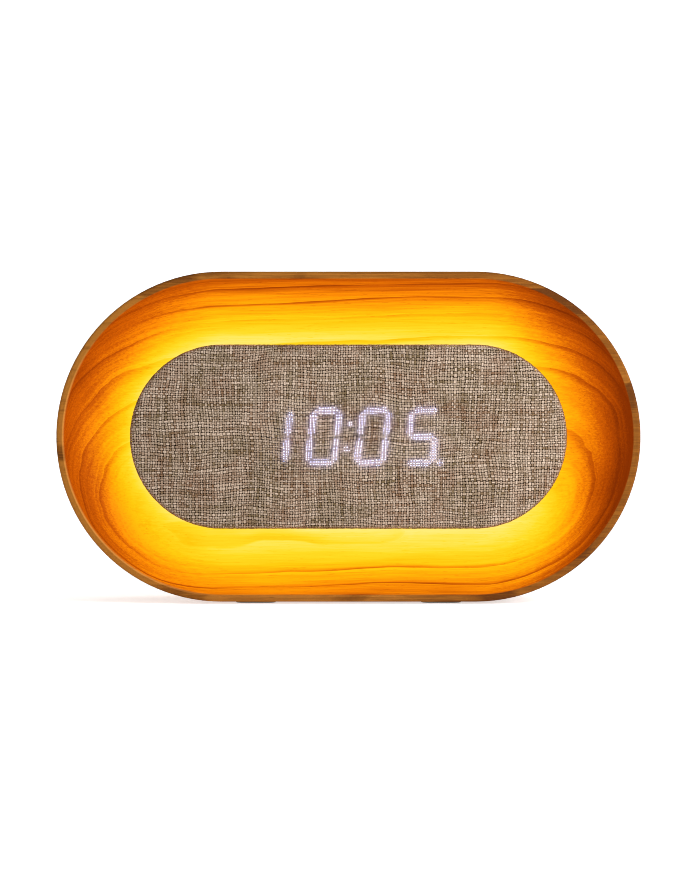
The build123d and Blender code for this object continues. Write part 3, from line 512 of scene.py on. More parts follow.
@dataclass(frozen=True)
class LinenWeave:
    """Plain-woven mottled yarn, laid in the cloth's own map, whose unit is a millimetre.

    Each yarn is a rounded ridge whose width and tone change along it. Ridges alternate like a
    chessboard between the two sets of yarns, and a hole is left where four yarns meet. Light from
    behind passes through the holes and, dimmed, through the yarn. Where the cloth turns back round
    the panel's edge, painted shade, warmed by the dish's light, darkens it.

    Attributes:
        front_y: Where the front of the cloth is.
        pitch: From one yarn to the next, in millimetres.
        light, brown: Colours of a pale and of a dark yarn.
        pink, grey: The two ends of the yarns' change of hue.
        gap_shade: Painted shade low down between the yarns.
        edge: Tint of painted shade, warmed by the dish's light, where the cloth turns back.
        inner, through: Tint and share of the light that passes through a yarn.
        thin, slubs: Half the width of the thinnest yarn and what it gains at most, in pitches.
        wander, bunching: How far all yarns and a few of them stray, in millimetres.
        relief: Height of the ridges, in millimetres.
    """

    front_y: float
    pitch: float = 0.905
    light: Colour = (0.502, 0.390, 0.302)
    brown: Colour = (0.135, 0.072, 0.024)
    pink: Colour = (0.28, 0.167, 0.120)
    grey: Colour = (0.18, 0.153, 0.095)
    gap_shade: Colour = (0.033, 0.016, 0.005)
    edge: Colour = (0.95, 0.55, 0.20)
    inner: Colour = (0.66, 0.62, 0.80)
    through: float = 0.13
    thin: float = 0.215
    slubs: float = 0.32
    wander: float = 4.0
    bunching: float = 1.1
    relief: float = 0.18

    def yarns(self, r: Recipe, number: Wire, along: Wire, seed: float) -> tuple[Wire, Wire]:
        """How wide a set of yarns is and how bright.

        Args:
            r: The recipe that the nodes join.
            number: The yarn's number.
            along: Place along the yarn, in pitches.
            seed: Keeps the two sets apart.

        Returns:
            Half of the yarn's width in pitches, and its tone about 0.5.
        """
        slub = r.noise(r.join(number * 7.31, along * 0.07, seed), 2.0, 0.6)
        tone = r.noise(r.join(number * 5.17, along * 0.032, seed + 20.0), 2.0, 0.6)
        return self.thin + slub * self.slubs, tone

    def make(self) -> Material:
        """Lays the yarns with their slubs, their waviness and the holes between them."""
        r = Recipe("linen_weave")
        lay = r.add("UVMap", {"uv_map": "weave"})
        u, v, _ = r.parts(lay)
        wide = r.noise(r.scaled(lay, 0.035, 0.035, 1.0), 2.0) - 0.5
        tall = r.noise(r.join(u * 0.035, v * 0.035, 40.0), 2.0) - 0.5
        bunch_u = r.noise(r.join(u * 0.45, v * 0.06, 11.0), 1.0) - 0.5
        bunch_v = r.noise(r.join(u * 0.06, v * 0.45, 12.0), 1.0) - 0.5
        across = (u + wide * self.wander + bunch_u * self.bunching) / self.pitch
        along = (v + tall * self.wander + bunch_v * self.bunching) / self.pitch
        warp, weft = across.floor(), along.floor()
        warp_half, warp_tone = self.yarns(r, warp, along, 1.0)
        weft_half, weft_tone = self.yarns(r, weft, across, 2.0)
        from_warp = (across.fraction() - 0.5) / warp_half
        from_weft = (along.fraction() - 0.5) / weft_half
        warp_ridge = (1.0 - from_warp * from_warp).most(0.0) ** 0.5
        weft_ridge = (1.0 - from_weft * from_weft).most(0.0) ** 0.5
        over = ((warp + weft) * 0.5).fraction() > 0.25
        warp_height = warp_ridge * (over * 0.66 + 0.34)
        weft_height = weft_ridge * (1.0 - over * 0.66)
        height = warp_height.most(weft_height)
        on_warp = warp_height > weft_height
        speck = r.chance(r.join(warp, weft, 5.0)) - 0.5
        field = r.noise(r.scaled(lay, 0.05, 0.05, 1.0), 2.0) - 0.5
        tone = weft_tone + on_warp * (warp_tone - weft_tone)
        fresh = ((tone - 0.5) * 2.7 + 0.47 + speck * 0.50 + field * 0.70).most(0.0).least(1.0)
        hue = r.noise(r.join(u * 0.09, v * 0.09, 30.0), 2.0)
        warm = r.mix(self.grey, self.pink, hue.smooth(0.38, 0.62))
        dull = r.mix(self.brown, warm, 0.45)
        yarn = r.mix(dull, self.light, fresh)
        _, y, _ = r.parts(r.place())
        # painted shade, warmed by the dish's light, where the cloth turns back round the panel's edge
        turned = y.smooth(self.front_y / MM + 0.3, self.front_y / MM + 1.4)
        turned_warm_shade = r.mix(yarn, r.mix(yarn, self.edge, 1.0, "MULTIPLY"), turned)
        # painted shade: the yarns darken towards the gap colour low down between them
        colour = r.mix(self.gap_shade, turned_warm_shade, height.smooth(0.15, 0.90))
        cover = height.smooth(0.04, 0.22)
        skin = r.add(
            "BsdfPrincipled",
            inputs={
                "Base Color": colour,
                "Normal": r.bump(height, self.relief, 0.9),
                "Roughness": 0.92,
                "Specular IOR Level": 0.04,
                "Sheen Weight": 0.03,
                "Sheen Roughness": 0.6,
            },
        )
        inner = r.add("BsdfTranslucent", inputs={"Color": self.inner})
        body = r.add("MixShader", inputs={0: self.through, 1: skin, 2: inner})
        clear = r.add("BsdfTransparent")
        return r.end(r.add("MixShader", inputs={0: cover, 1: clear, 2: body}))


@dataclass(frozen=True)
class Moulded:
    """Moulded plastic with the fine sparked texture of its mould and faint flow marks."""

    name: str
    colour: Colour
    roughness: float = 0.5
    grain: float = 0.35
    relief: float = 0.02
    shine: float = 0.45

    def make(self) -> Material:
        """Lays the sparked texture, the flow marks and the handled patches."""
        r = Recipe(self.name)
        place = r.place()
        spark = r.noise(r.even(place, 1 / self.grain), 3.0, 0.6)
        flow = r.noise(r.scaled(place, 0.03, 0.2, 0.09), 2.0)
        handled = r.noise(r.even(place, 0.07), 2.0).smooth(0.35, 0.75)
        tone = 0.86 + (flow - 0.5) * 0.22 + (spark - 0.5) * 0.18
        return r.surface({
            "Base Color": r.shade(self.colour, tone.least(1.0)),
            "Roughness": self.roughness + (spark - 0.5) * 0.16 - handled * 0.06,
            "Normal": r.bump(spark, self.relief, 0.8),
            "Specular IOR Level": self.shine,
        })


@dataclass(frozen=True)
class Keycap:
    """Satin plastic of a row of keys whose sunken signs are filled with pale paint.

    Attributes:
        name: Name of the material.
        face_y: Where the keys' faces are.
        row_z: Height of the row.
        pitch: From one key to the next; one key is in the middle of the row.
        reach: Radius inside which the signs lie.
        sink: How deep a sign is sunk.
    """

    name: str
    face_y: float
    row_z: float
    pitch: float
    reach: float
    sink: float
    colour: Colour = (0.045, 0.036, 0.030)
    paint: Colour = (0.62, 0.60, 0.55)

    def make(self) -> Material:
        """Lays the paint just under the faces and near each key's axis, and a worn satin skin."""
        r = Recipe(self.name)
        place = r.place()
        x, y, z = r.parts(place)
        depth = self.face_y / MM - y
        step = x / (self.pitch / MM) + 0.5
        off_x = (step.fraction() - 0.5) * (self.pitch / MM)
        off_z = z - self.row_z / MM
        near = (off_x * off_x + off_z * off_z) ** 0.5 < self.reach / MM
        filled = (depth > self.sink / MM * 0.5) * (depth < self.sink / MM * 1.4) * near
        spark = r.noise(r.even(place, 2.0), 3.0, 0.6)
        worn = r.noise(r.even(place, 0.25), 2.0).smooth(0.35, 0.7)
        return r.surface({
            "Base Color": r.mix(r.shade(self.colour, 0.8 + spark * 0.2), self.paint, filled),
            "Roughness": 0.36 + filled * 0.3 + (spark - 0.5) * 0.1 - worn * 0.06,
            "Normal": r.bump(spark, 0.01, 0.8),
            "Specular IOR Level": 0.35,
        })


@dataclass(frozen=True)
class Plated:
    """Machined or stamped metal with a thin plated skin: fine turning lines and dulled patches."""

    name: str
    colour: Colour
    tint: Colour
    roughness: float = 0.26
    lines: float = 0.12

    def make(self) -> Material:
        """Lays the turning lines, the dulled patches and a faint change of tint."""
        r = Recipe(self.name)
        place = r.place()
        turning = r.noise(r.scaled(place, 1.2, 1 / self.lines, 1.2), 2.0)
        dull = r.noise(r.even(place, 0.6), 3.0, 0.6)
        stain = r.noise(r.even(place, 0.22), 2.0).smooth(0.35, 0.7)
        return r.surface({
            "Base Color": r.mix(self.colour, self.tint, stain),
            "Roughness": self.roughness + (dull - 0.4) * 0.3 + (turning - 0.5) * 0.1,
            "Normal": r.bump(turning, 0.006, 0.6),
            "Metallic": 1.0,
        })


@dataclass(frozen=True)
class Rubbery:
    """Rubber, foam or soft cable skin: a matt skin with small pits, paler where dust has settled."""

    name: str
    colour: Colour
    pit: float = 0.5
    relief: float = 0.04
    roughness: float = 0.82
    dust: float = 0.35

    def make(self) -> Material:
        """Lays the pits, with painted shade in them, and the dust."""
        r = Recipe(self.name)
        place = r.place()
        pits = r.cells(r.even(place, 1 / self.pit))
        film = r.noise(r.even(place, 0.3), 4.0, 0.7).smooth(0.45, 0.8)
        pale = tuple(0.55 * part + 0.12 for part in self.colour)
        deep = tuple(0.5 * part for part in self.colour)
        worn = r.mix(self.colour, pale, film * self.dust)
        return r.surface({
            # painted shade: the colour falls towards half in the middle of each pit
            "Base Color": r.mix(worn, deep, pits.smooth(0.75, 0.2) * 0.5),
            "Roughness": self.roughness - film * 0.1,
            "Normal": r.bump(pits, self.relief, 0.7),
            "Specular IOR Level": 0.3,
        })


@dataclass(frozen=True)
class CircuitBoard:
    """Glass-fibre board under green lacquer: copper tracks that show as paler lines, and tinned pads."""

    lacquer: Colour = (0.010, 0.085, 0.040)
    over_copper: Colour = (0.022, 0.17, 0.070)
    tin: Colour = (0.62, 0.60, 0.55)
    track_pitch: float = 1.27
    block: float = 7.6
    pad_pitch: float = 5.08

    def make(self) -> Material:
        """Lays blocks of level and upright tracks, and pads on a wide grid."""
        r = Recipe("circuit_board")
        place = r.place()
        x, _, z = r.parts(place)
        column = (x / self.block).floor()
        row = (z / self.block).floor()
        upright = r.chance(r.join(column, row)) > 0.5
        step = upright * x + (1.0 - upright) * z
        lane = (step / self.track_pitch).floor()
        used = r.chance(r.join(lane, column * upright + row * (1.0 - upright), 4.0)) > 0.42
        track = (abs((step / self.track_pitch).fraction() - 0.5) < 0.22) * used
        pad_x = (x / self.pad_pitch).fraction() - 0.5
        pad_z = (z / self.pad_pitch).fraction() - 0.5
        spot = (pad_x * pad_x + pad_z * pad_z) ** 0.5
        wanted = r.chance(r.join((x / self.pad_pitch).floor(), (z / self.pad_pitch).floor(), 8.0)) > 0.55
        pad = spot.smooth(0.15, 0.12) * wanted
        cloud = r.noise(r.even(place, 0.8), 2.0)
        lacquer = r.mix(self.lacquer, self.over_copper, (track + (cloud - 0.5) * 0.2).most(0.0))
        return r.surface({
            "Base Color": r.mix(lacquer, self.tin, pad),
            "Metallic": pad * 0.9,
            "Roughness": 0.32 + pad * 0.1 + (cloud - 0.5) * 0.1,
            "Normal": r.bump(track * 0.6 + pad, 0.03, 0.8),
            "Specular IOR Level": 0.5,
        })


@dataclass(frozen=True)
class PrintedFilm:
    """Flexible film with bare conductors side by side along its length."""

    name: str
    film: Colour
    copper: Colour
    pitch: float
    share: float = 0.5

    def make(self) -> Material:
        """Lays the conductors, evenly spaced in X, under a satin film."""
        r = Recipe(self.name)
        place = r.place()
        x, _, _ = r.parts(place)
        lane = abs((x / self.pitch).fraction() - 0.5)
        strip = lane.smooth(self.share / 2 + 0.04, self.share / 2 - 0.04)
        film = r.noise(r.even(place, 0.5), 3.0)
        return r.surface({
            "Base Color": r.mix(r.shade(self.film, 0.8 + film * 0.2), self.copper, strip),
            "Metallic": strip * 0.7,
            "Roughness": 0.42 - strip * 0.1 + (film - 0.5) * 0.1,
            "Normal": r.bump(strip, 0.03, 0.8),
            "Specular IOR Level": 0.5,
        })


@dataclass(frozen=True)
class LitPlastic:
    """Plastic that glows: brighter in front of each lamp behind it, uneven in between."""

    name: str
    body: Colour
    glow: Colour
    strength: float
    lamp_pitch: float
    dip: float = 0.3

    def make(self) -> Material:
        """Lays a soft wave of light, one crest per lamp, and a cloudy body."""
        r = Recipe(self.name)
        place = r.place()
        x, _, _ = r.parts(place)
        cloud = r.noise(r.even(place, 0.7), 3.0)
        wave = ((x / self.lamp_pitch + 0.25) * (2 * math.pi)).sine() * 0.5 + 0.5
        level = (1.0 - self.dip) + wave * self.dip * (0.6 + cloud * 0.8)
        return r.surface({
            "Base Color": r.shade(self.body, 0.8 + cloud * 0.2),
            "Roughness": 0.38 + (cloud - 0.5) * 0.2,
            "Normal": r.bump(cloud, 0.02, 0.5),
            "Emission Color": r.shade(self.glow, level.least(1.0)),
            "Emission Strength": self.strength,
        })


@dataclass(frozen=True)
class Wound:
    """Enamelled wire in close turns, one beside the other along Y."""

    colour: Colour = (0.62, 0.24, 0.09)
    pitch: float = 0.14

    def make(self) -> Material:
        """Lays the turns as rounded ridges, with painted shade in the grooves between them."""
        r = Recipe("wound_wire")
        place = r.place()
        _, y, _ = r.parts(place)
        ridge = abs(((y / self.pitch) * math.pi).sine())
        cloud = r.noise(r.even(place, 0.9), 2.0)
        return r.surface({
            # painted shade: dimmed in the grooves between the turns
            "Base Color": r.shade(self.colour, ridge.smooth(0.0, 0.6, 0.35, 1.0)),
            "Roughness": 0.22 + cloud * 0.14,
            "Normal": r.bump(ridge, 0.05, 0.9),
            "Metallic": 0.9,
        })


@dataclass(frozen=True)
class Foil:
    """Laminated foil of a pouch cell, pulled into soft creases."""

    name: str
    colour: Colour = (0.66, 0.67, 0.70)
    crease: float = 0.25

    def make(self) -> Material:
        """Lays long creases and small dents."""
        r = Recipe(self.name)
        place = r.place()
        crease = abs(r.noise(r.scaled(place, 0.05, 0.3, 0.12), 3.0) - 0.5).smooth(0.0, 0.12)
        dent = r.noise(r.even(place, 0.9), 3.0)
        return r.surface({
            "Base Color": r.shade(self.colour, 0.8 + dent * 0.2),
            "Roughness": 0.30 + (dent - 0.5) * 0.2,
            "Normal": r.bump(crease + dent * 0.3, self.crease, 0.8),
            "Metallic": 0.85,
        })


@dataclass(frozen=True)
class PressedPaper:
    """Coated paper of a speaker cone: felted fibres, and ribs pressed round it."""

    middle_x: float
    middle_z: float
    colour: Colour = (0.030, 0.030, 0.033)
    fibre: Colour = (0.085, 0.083, 0.080)
    rib_pitch: float = 1.6

    def make(self) -> Material:
        """Lays fibres and round ribs about the cone's axis."""
        r = Recipe("pressed_paper")
        place = r.place()
        x, _, z = r.parts(place)
        out = ((x - self.middle_x / MM) ** 2.0 + (z - self.middle_z / MM) ** 2.0) ** 0.5
        rib = (out * (2 * math.pi / self.rib_pitch)).sine() * 0.5 + 0.5
        fibre = r.noise(r.even(place, 2.5), 4.0, 0.7)
        return r.surface({
            "Base Color": r.mix(self.colour, self.fibre, fibre.smooth(0.45, 0.75)),
            "Roughness": 0.6 + (fibre - 0.5) * 0.3,
            "Normal": r.bump(rib * 0.7 + fibre * 0.3, 0.08, 0.8),
            "Specular IOR Level": 0.4,
        })


@dataclass(frozen=True)
class StudioPaper:
    """White paper of the sweep, faintly cloudy, that helps to light itself."""

    colour: Colour = (0.93, 0.93, 0.925)
    strength: float = 0.62

    def make(self) -> Material:
        """Lays the clouds."""
        r = Recipe("studio_paper")
        place = r.place()
        cloud = r.noise(r.even(place, 0.002), 1.0)
        tone = 0.965 + cloud * 0.03
        return r.surface({
            "Base Color": r.shade(self.colour, tone),
            "Emission Color": r.shade((1.0, 1.0, 1.0), tone),
            "Roughness": 0.9,
            "Specular IOR Level": 0.1,
            "Emission Strength": self.strength,
        })


# ---- sub-assemblies


def dress(finish: Finish, *nodes: str) -> None:
    """Gives one finish to CAD nodes.

    Args:
        finish: The finish that takes the place of the plain one.
        nodes: Names of the nodes that share it.
    """
    material = finish.make()
    for node in nodes:
        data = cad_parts[node].data
        data.materials.clear()
        data.materials.append(material)
        log.info("%s wears %s", node, material.name)


def grid_piece(name: str, points: np.ndarray, uv: np.ndarray, uv_name: str) -> bpy.types.Object:
    """A surface through a grid of points whose columns close into a ring.

    Args:
        name: Name of the piece.
        points: Rows by columns by three coordinates, in metres.
        uv: Rows by columns plus one by two map coordinates.
        uv_name: Name of the map.

    Returns:
        The object, at the origin, smooth shaded.
    """
    rows, columns = points.shape[:2]
    row, column = np.meshgrid(np.arange(rows - 1), np.arange(columns), indexing="ij")
    after = (column + 1) % columns
    here, below = row * columns, (row + 1) * columns
    corners = np.stack([here + column, below + column, below + after, here + after], -1).reshape(-1, 4)
    lay = np.stack([uv[:-1, :-1], uv[1:, :-1], uv[1:, 1:], uv[:-1, 1:]], axis=2).reshape(-1, 2)
    mesh = bpy.data.meshes.new(name)
    mesh.vertices.add(rows * columns)
    mesh.vertices.foreach_set("co", points.reshape(-1).astype(np.float32))
    mesh.loops.add(corners.size)
    mesh.loops.foreach_set("vertex_index", corners.reshape(-1).astype(np.int32))
    mesh.polygons.add(len(corners))
    mesh.polygons.foreach_set("loop_start", np.arange(0, corners.size, 4, dtype=np.int32))
    mesh.polygons.foreach_set("use_smooth", np.ones(len(corners), bool))
    mesh.uv_layers.new(name=uv_name).data.foreach_set("uv", lay.reshape(-1).astype(np.float32))
    mesh.update(calc_edges=True)
    mesh.validate()
    piece = bpy.data.objects.new(name, mesh)
    bpy.context.scene.collection.objects.link(piece)
    return piece


@dataclass
class FrontCloth:
    """The cloth that is stretched over the front panel, wrapped round its edge and clamped behind.

    Attributes:
        edge_round: Radius of the panel's front edge.
        crown: How far the middle stands proud of the edge.
        fold_round: Radius of the fold at the back.
        hem: Width of the turned-in hem.
        lift: How far the hem stays clear of the back of its solid.
        bumps, bump_seed: How far the edge swells and sinks where yarns bend round it.
        plump: How far the loose weave stands out past the panel's outline.
        columns: Places on half a side or half an end of the outline.
        rows: Rows on the flat front; the others are on a quarter turn, the side and the hem.
    """

    edge_round: float = 2.0 * MM
    crown: float = 0.30 * MM
    fold_round: float = 0.30 * MM
    hem: float = 4.6 * MM
    lift: float = 0.02 * MM
    bumps: float = 0.16 * MM
    bump_seed: int = 11
    plump: float = 0.45 * MM
    columns: int = 150
    rows: int = 44
    turn_rows: int = 8
    side_rows: int = 3
    hem_rows: int = 5

    def swell(self, count: int) -> np.ndarray:
        """Even random bumps round the edge, each about three places wide, that never stand proud."""
        rough = np.random.default_rng(self.bump_seed).random(count)
        soft = sum(np.roll(rough, shift) for shift in range(-1, 2)) / 3
        return self.bumps * (soft - soft.max())

    def build(self) -> bpy.types.Object:
        """Makes the cloth from one profile carried round the outline.

        The profile goes out over the flat front, a quarter turn round the edge, straight back down
        the side, a quarter turn round the fold and inwards along the hem. The front bulges by the
        crown times one minus the square of the way out.

        Returns:
            The cloth, which replaces its CAD solid.
        """
        outline, reach = Stadium.of_node("cloth_cover")
        reach += self.plump
        low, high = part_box("cloth_cover")
        front, back = low.y, high.y - self.lift
        flat = reach - self.edge_round
        quarter = np.linspace(0, math.pi / 2, self.turn_rows + 1)[1:]
        out_flat = np.linspace(0, flat, self.rows)
        side = np.linspace(front + self.edge_round, back - self.fold_round, self.side_rows + 1)[1:]
        inward = np.linspace(reach - self.fold_round, reach - self.hem, self.hem_rows + 1)[1:]
        out = np.concatenate([
            out_flat,
            flat + self.edge_round * np.sin(quarter),
            np.full(side.size, reach),
            reach - self.fold_round * (1 - np.cos(quarter)),
            inward,
        ])
        depth = np.concatenate([
            np.full(out_flat.size, front),
            front + self.edge_round * (1 - np.cos(quarter)),
            side,
            back - self.fold_round * (1 - np.sin(quarter)),
            np.full(inward.size, back),
        ])
        depth = depth - self.crown * np.where(depth < front + self.edge_round, 1 - (out / reach) ** 2, 0)
        run = np.concatenate([[0.0], np.cumsum(np.hypot(np.diff(out), np.diff(depth)))])
        foot, out_x, out_z = outline.ring(self.columns)
        edge = np.clip((out - flat) / self.edge_round, 0, 1)[:, None] * self.swell(foot.size)
        reached = out[:, None] + edge
        deep = np.repeat(depth[:, None], foot.size, axis=1)
        points = np.stack([foot + reached * out_x, deep, outline.height + reached * out_z], axis=-1)
        wrap = np.arange(foot.size + 1) % foot.size
        laid = run[:, None]
        uv = np.stack([foot[wrap] + laid * out_x[wrap], laid * out_z[wrap]], axis=-1) / MM
        cloth = grid_piece("front_cloth", points, uv, "weave")
        cloth.data.materials.append(LinenWeave(front).make())
        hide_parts("cloth_cover")
        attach(cloth, "housing")
        return cloth


@dataclass
class WoodenBody:
    """The carved wooden block and what is pressed into it.

    Attributes:
        rim: Width of the flat rim round the dish.
        dish_depth: How far the dish goes back from the rim.
    """

    rim: float = 2.6 * MM
    dish_depth: float = 16.0 * MM

    def build(self) -> None:
        """Gives the block its grain and its light, and its feet and inserts their finishes."""
        outline, outer = Stadium.of_node("wood_body")
        _, panel = Stadium.of_node("cloth_cover")
        low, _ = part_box("wood_body")
        glow = Glow(outline, panel, outer - self.rim, low.y + self.dish_depth)
        dress(OiledWood(glow), "wood_body")
        dress(Rubbery("foot_rubber", (0.035, 0.034, 0.033)), "rubber_feet")
        dress(Plated("turned_brass", (0.72, 0.50, 0.20), (0.60, 0.38, 0.14)), "threaded_inserts")


@dataclass
class FrontPanel:
    """The plate behind the cloth, the ring that clamps it and the lit core."""

    lamp_pitch: float = 8.7

    def build(self) -> None:
        """Finishes the plate, the ring, the core and the ring of lamps."""
        pitch = self.lamp_pitch
        plate = Moulded("panel_plastic", (0.030, 0.016, 0.006), 0.7, shine=0.05)
        dress(plate, "front_plate", "cloth_clamp_ring")
        dress(Moulded("core_plastic", (0.74, 0.72, 0.67), 0.45), "light_core")
        dress(PrintedFilm("led_film", (0.72, 0.66, 0.50), (0.70, 0.45, 0.20), pitch, 0.35), "led_strip")
        dress(LitPlastic("led_phosphor", (0.9, 0.75, 0.3), (1.0, 0.62, 0.22), 8.0, pitch), "led_chips")
        dress(LitPlastic("frosted", (0.85, 0.78, 0.62), (1.0, 0.42, 0.09), 5.0, pitch), "light_diffuser")


@dataclass
class DisplayUnit:
    """The four-digit module on its board."""

    segment_strength: float = 4.1

    def build(self) -> None:
        """Finishes the module's face, its segments, board, driver and ribbon."""
        face = Moulded("module_black", (0.016, 0.014, 0.013), 0.6, grain=0.2, relief=0.008, shine=0.12)
        lit = LitPlastic("lit_segment", (0.9, 0.9, 1.0), (0.62, 0.66, 1.0), self.segment_strength, 3.0, 0.1)
        chip = Moulded("chip_epoxy", (0.018, 0.018, 0.019), 0.55, grain=0.12, relief=0.006)
        ribbon = PrintedFilm("ribbon_film", (0.62, 0.62, 0.60), (0.70, 0.68, 0.62), 1.0)
        dress(face, "display_module")
        dress(lit, "lit_segments")
        dress(Moulded("dark_segment", (0.055, 0.055, 0.06), 0.35, grain=0.6, relief=0.01), "dark_segments")
        dress(CircuitBoard(), "display_board")
        dress(chip, "display_driver_chip")
        dress(ribbon, "display_ribbon")


@dataclass
class SpeakerUnit:
    """The speaker in the left part of the core."""

    def build(self) -> None:
        """Finishes the speaker's magnet and coil, cone, surround and gasket."""
        low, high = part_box("voice_coil")
        middle = (low + high) / 2
        magnet = Moulded("ferrite", (0.035, 0.035, 0.038), 0.42, grain=0.25, relief=0.03)
        dress(PressedPaper(middle.x, middle.z), "speaker_cone")
        dress(Wound(), "voice_coil")
        dress(Rubbery("surround_rubber", (0.022, 0.022, 0.023), 0.35, 0.02), "speaker_surround")
        dress(Rubbery("gasket_foam", (0.045, 0.045, 0.047), 0.4, 0.2), "speaker_gasket")
        dress(magnet, "speaker_magnet")


@dataclass
class BatteryUnit:
    """The pouch cell in its tray."""

    def build(self) -> None:
        """Finishes the tray, the pad and the cell."""
        dress(Moulded("tray_plastic", (0.030, 0.027, 0.025), 0.55), "battery_tray")
        dress(Rubbery("pad_foam", (0.06, 0.06, 0.062), 0.5, 0.3), "battery_foam_pad")
        dress(Foil("pouch_foil"), "battery_cell")


@dataclass
class BackCover:
    """The cover, its buttons, switch and socket, and the board behind them.

    Attributes:
        buttons: Names of the buttons.
        sign_sink: How deep the signs are sunk in the caps.
        sign_reach: Radius inside which a sign lies.
    """

    buttons: Sequence[str] = ("set", "alarm", "plus", "minus", "light")
    sign_sink: float = 0.25 * MM
    sign_reach: float = 2.9 * MM

    def build(self) -> None:
        """Finishes the cover and what it carries."""
        low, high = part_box("button_plus")
        beside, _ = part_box("button_minus")
        row_z, pitch = (low.z + high.z) / 2, abs(beside.x - low.x)
        cover = Moulded("cover_plastic", (0.018, 0.014, 0.011), 0.50, grain=0.45, relief=0.05, shine=0.30)
        cap = Keycap("button_plastic", high.y, row_z, pitch, self.sign_reach, self.sign_sink)
        plunger = Moulded("plunger_plastic", (0.55, 0.10, 0.05), 0.4)
        knob = Moulded("knob_plastic", (0.045, 0.036, 0.030), 0.34, grain=0.5, relief=0.008, shine=0.35)
        epoxy = Moulded("part_epoxy", (0.020, 0.020, 0.021), 0.5, grain=0.15, relief=0.008)
        inductor = Moulded("inductor_ferrite", (0.05, 0.05, 0.052), 0.5, grain=0.2, relief=0.02)
        dress(cover, "rear_cover")
        dress(cap, *(f"button_{name}" for name in self.buttons))
        dress(plunger, *(f"plunger_{name}" for name in self.buttons))
        dress(knob, "power_switch_knob")
        dress(epoxy, "tact_switches", "circuit_chips", "usb_socket_tongue")
        dress(CircuitBoard(), "main_board")
        dress(inductor, "power_inductor")
        dress(Foil("capacitor_can", (0.72, 0.73, 0.74), 0.03), "capacitors")
        dress(Moulded("connector_nylon", (0.70, 0.66, 0.56), 0.4), "board_connectors")


@dataclass
class SmallHardware:
    """Screws, metal cans and leads."""

    def build(self) -> None:
        """Finishes everything that is plated, and the wires."""
        dress(
            Plated("plated_steel", (0.60, 0.60, 0.61), (0.54, 0.55, 0.58)),
            "display_pins", "speaker_frame", "speaker_top_plate", "speaker_yoke", "power_switch_body",
            "usb_socket_shell", "clock_crystal", "front_plate_screws", "display_board_screws",
            "speaker_screws", "battery_tray_screws", "main_board_screws", "light_core_screws",
        )
        black = Plated("blackened_screw", (0.085, 0.083, 0.082), (0.13, 0.12, 0.11), 0.38)
        dress(black, "rear_cover_screws")
        lead = Rubbery("lead_skin", (0.30, 0.022, 0.016), 0.3, 0.01, 0.45, 0.1)
        dress(lead, "battery_lead", "speaker_lead", "led_lead")


# ---- studio


class Lamp(Enum):
    """The studio's soft lamps: place, size and power."""

    KEY = ((0.30, -0.28, 0.19), 0.20, 1.85)
    FILL = ((-1.20, -1.20, 0.55), 1.3, 0.2)
    BACK = ((0.2, 1.3, 1.4), 1.2, 6.0)


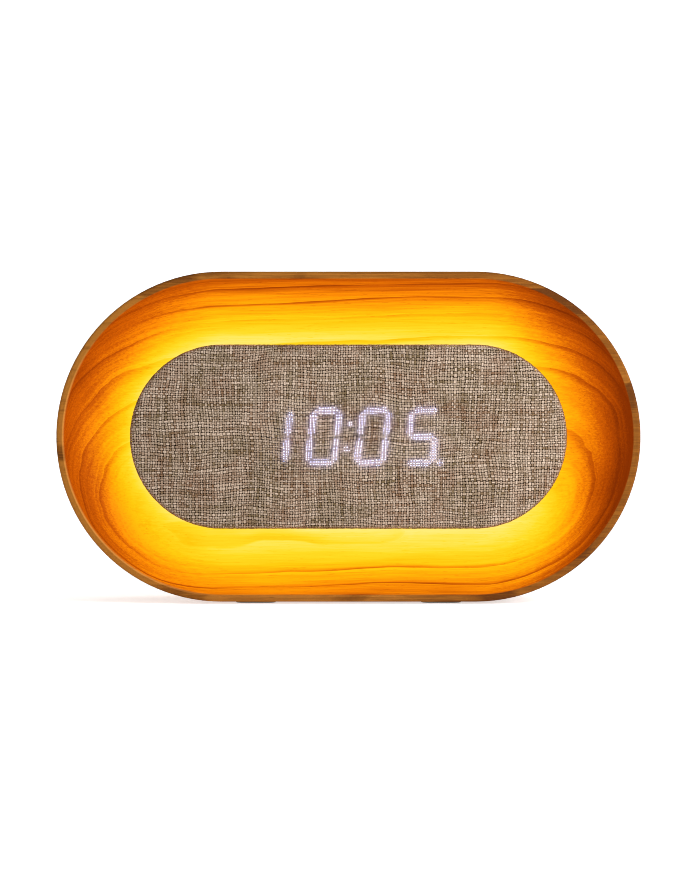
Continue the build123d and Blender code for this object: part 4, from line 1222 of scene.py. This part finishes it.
@dataclass
class Studio:
    """A pale round sweep, soft lamps and a level camera straight in front.

    Attributes:
        focal: Focal length of the lens, in its own millimetres.
        picture_height: Height of the view at the clock's front, in metres.
        camera_x: How far the camera stands to the right of the clock's middle.
        camera_drop: How far it is below the clock's middle.
        aim: Where the lamps are turned to.
        sky: Strength of the even sky.
        floor, turn, wall: Reach of the flat floor, its turn's radius and the wall's height over it.
    """

    focal: float = 100.0
    picture_height: float = 0.2992
    camera_x: float = 0.55 * MM
    camera_drop: float = 0.30 * MM
    aim: tuple[float, float, float] = (0.0, 0.0, 0.05)
    sky: float = 0.16
    floor: float = 2.2
    turn: float = 0.8
    wall: float = 0.8

    def build(self) -> None:
        """Makes the sweep, the world, the lamps and the camera."""
        self.sweep()
        self.lights()
        self.camera()
        view = bpy.context.scene.view_settings
        view.view_transform = "Standard"
        view.look = "None"
        bpy.context.scene.cycles.filter_width = 1.0

    def sweep(self) -> None:
        """A floor that turns up into a low wall all round, a profile carried round an upright axis."""
        floor, turn = self.floor, self.turn
        arc = np.linspace(0, math.pi / 2, 13)
        out = np.concatenate([[0.0001, 0.3, 0.8, 1.5], floor + turn * np.sin(arc), [floor + turn]])
        up = np.concatenate([np.zeros(4), turn * (1 - np.cos(arc)), [turn + self.wall]])
        angle = np.linspace(0, 2 * math.pi, 96, endpoint=False)
        reach, height = out[:, None], np.repeat(up[:, None], angle.size, 1)
        points = np.stack([reach * np.cos(angle), reach * np.sin(angle), height], -1)
        uv = np.zeros((out.size, angle.size + 1, 2))
        sweep = grid_piece("studio_sweep", points, uv, "flat")
        sweep.data.materials.append(StudioPaper().make())

    def lights(self) -> None:
        """An even pale sky and the soft lamps, each turned to the clock."""
        world = bpy.data.worlds.new("studio_sky")
        bpy.context.scene.world = world
        world.use_nodes = True
        sky = world.node_tree.nodes["Background"]
        sky.inputs[0].default_value = (1.0, 1.0, 1.0, 1.0)
        sky.inputs[1].default_value = self.sky
        for lamp in Lamp:
            place, size, power = lamp.value
            data = bpy.data.lights.new(lamp.name.lower() + "_lamp", "AREA")
            data.size = size
            data.energy = power
            holder = bpy.data.objects.new(data.name, data)
            bpy.context.scene.collection.objects.link(holder)
            holder.location = place
            holder.rotation_euler = (Vector(self.aim) - Vector(place)).to_track_quat("-Z", "Y").to_euler()

    def camera(self) -> None:
        """A long lens, level and square to the front."""
        outline, _ = Stadium.of_node("wood_body")
        low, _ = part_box("wood_body")
        data = bpy.data.cameras.new("front_camera")
        data.lens = self.focal
        data.dof.use_dof = False
        away = self.picture_height * self.focal / data.sensor_width
        camera = bpy.data.objects.new("front_camera", data)
        bpy.context.scene.collection.objects.link(camera)
        camera.location = (self.camera_x, low.y - away, outline.height - self.camera_drop)
        camera.rotation_euler = (math.pi / 2, 0, 0)
        bpy.context.scene.camera = camera


def main() -> None:
    """Builds and dresses every sub-assembly and sets up the studio."""
    logging.basicConfig(level=logging.INFO, format="%(name)s: %(message)s")
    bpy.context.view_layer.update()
    for unit in (
        WoodenBody(), FrontPanel(), FrontCloth(), DisplayUnit(), SpeakerUnit(),
        BatteryUnit(), BackCover(), SmallHardware(), Studio(),
    ):
        unit.build()


if __name__ == "__main__":
    main()
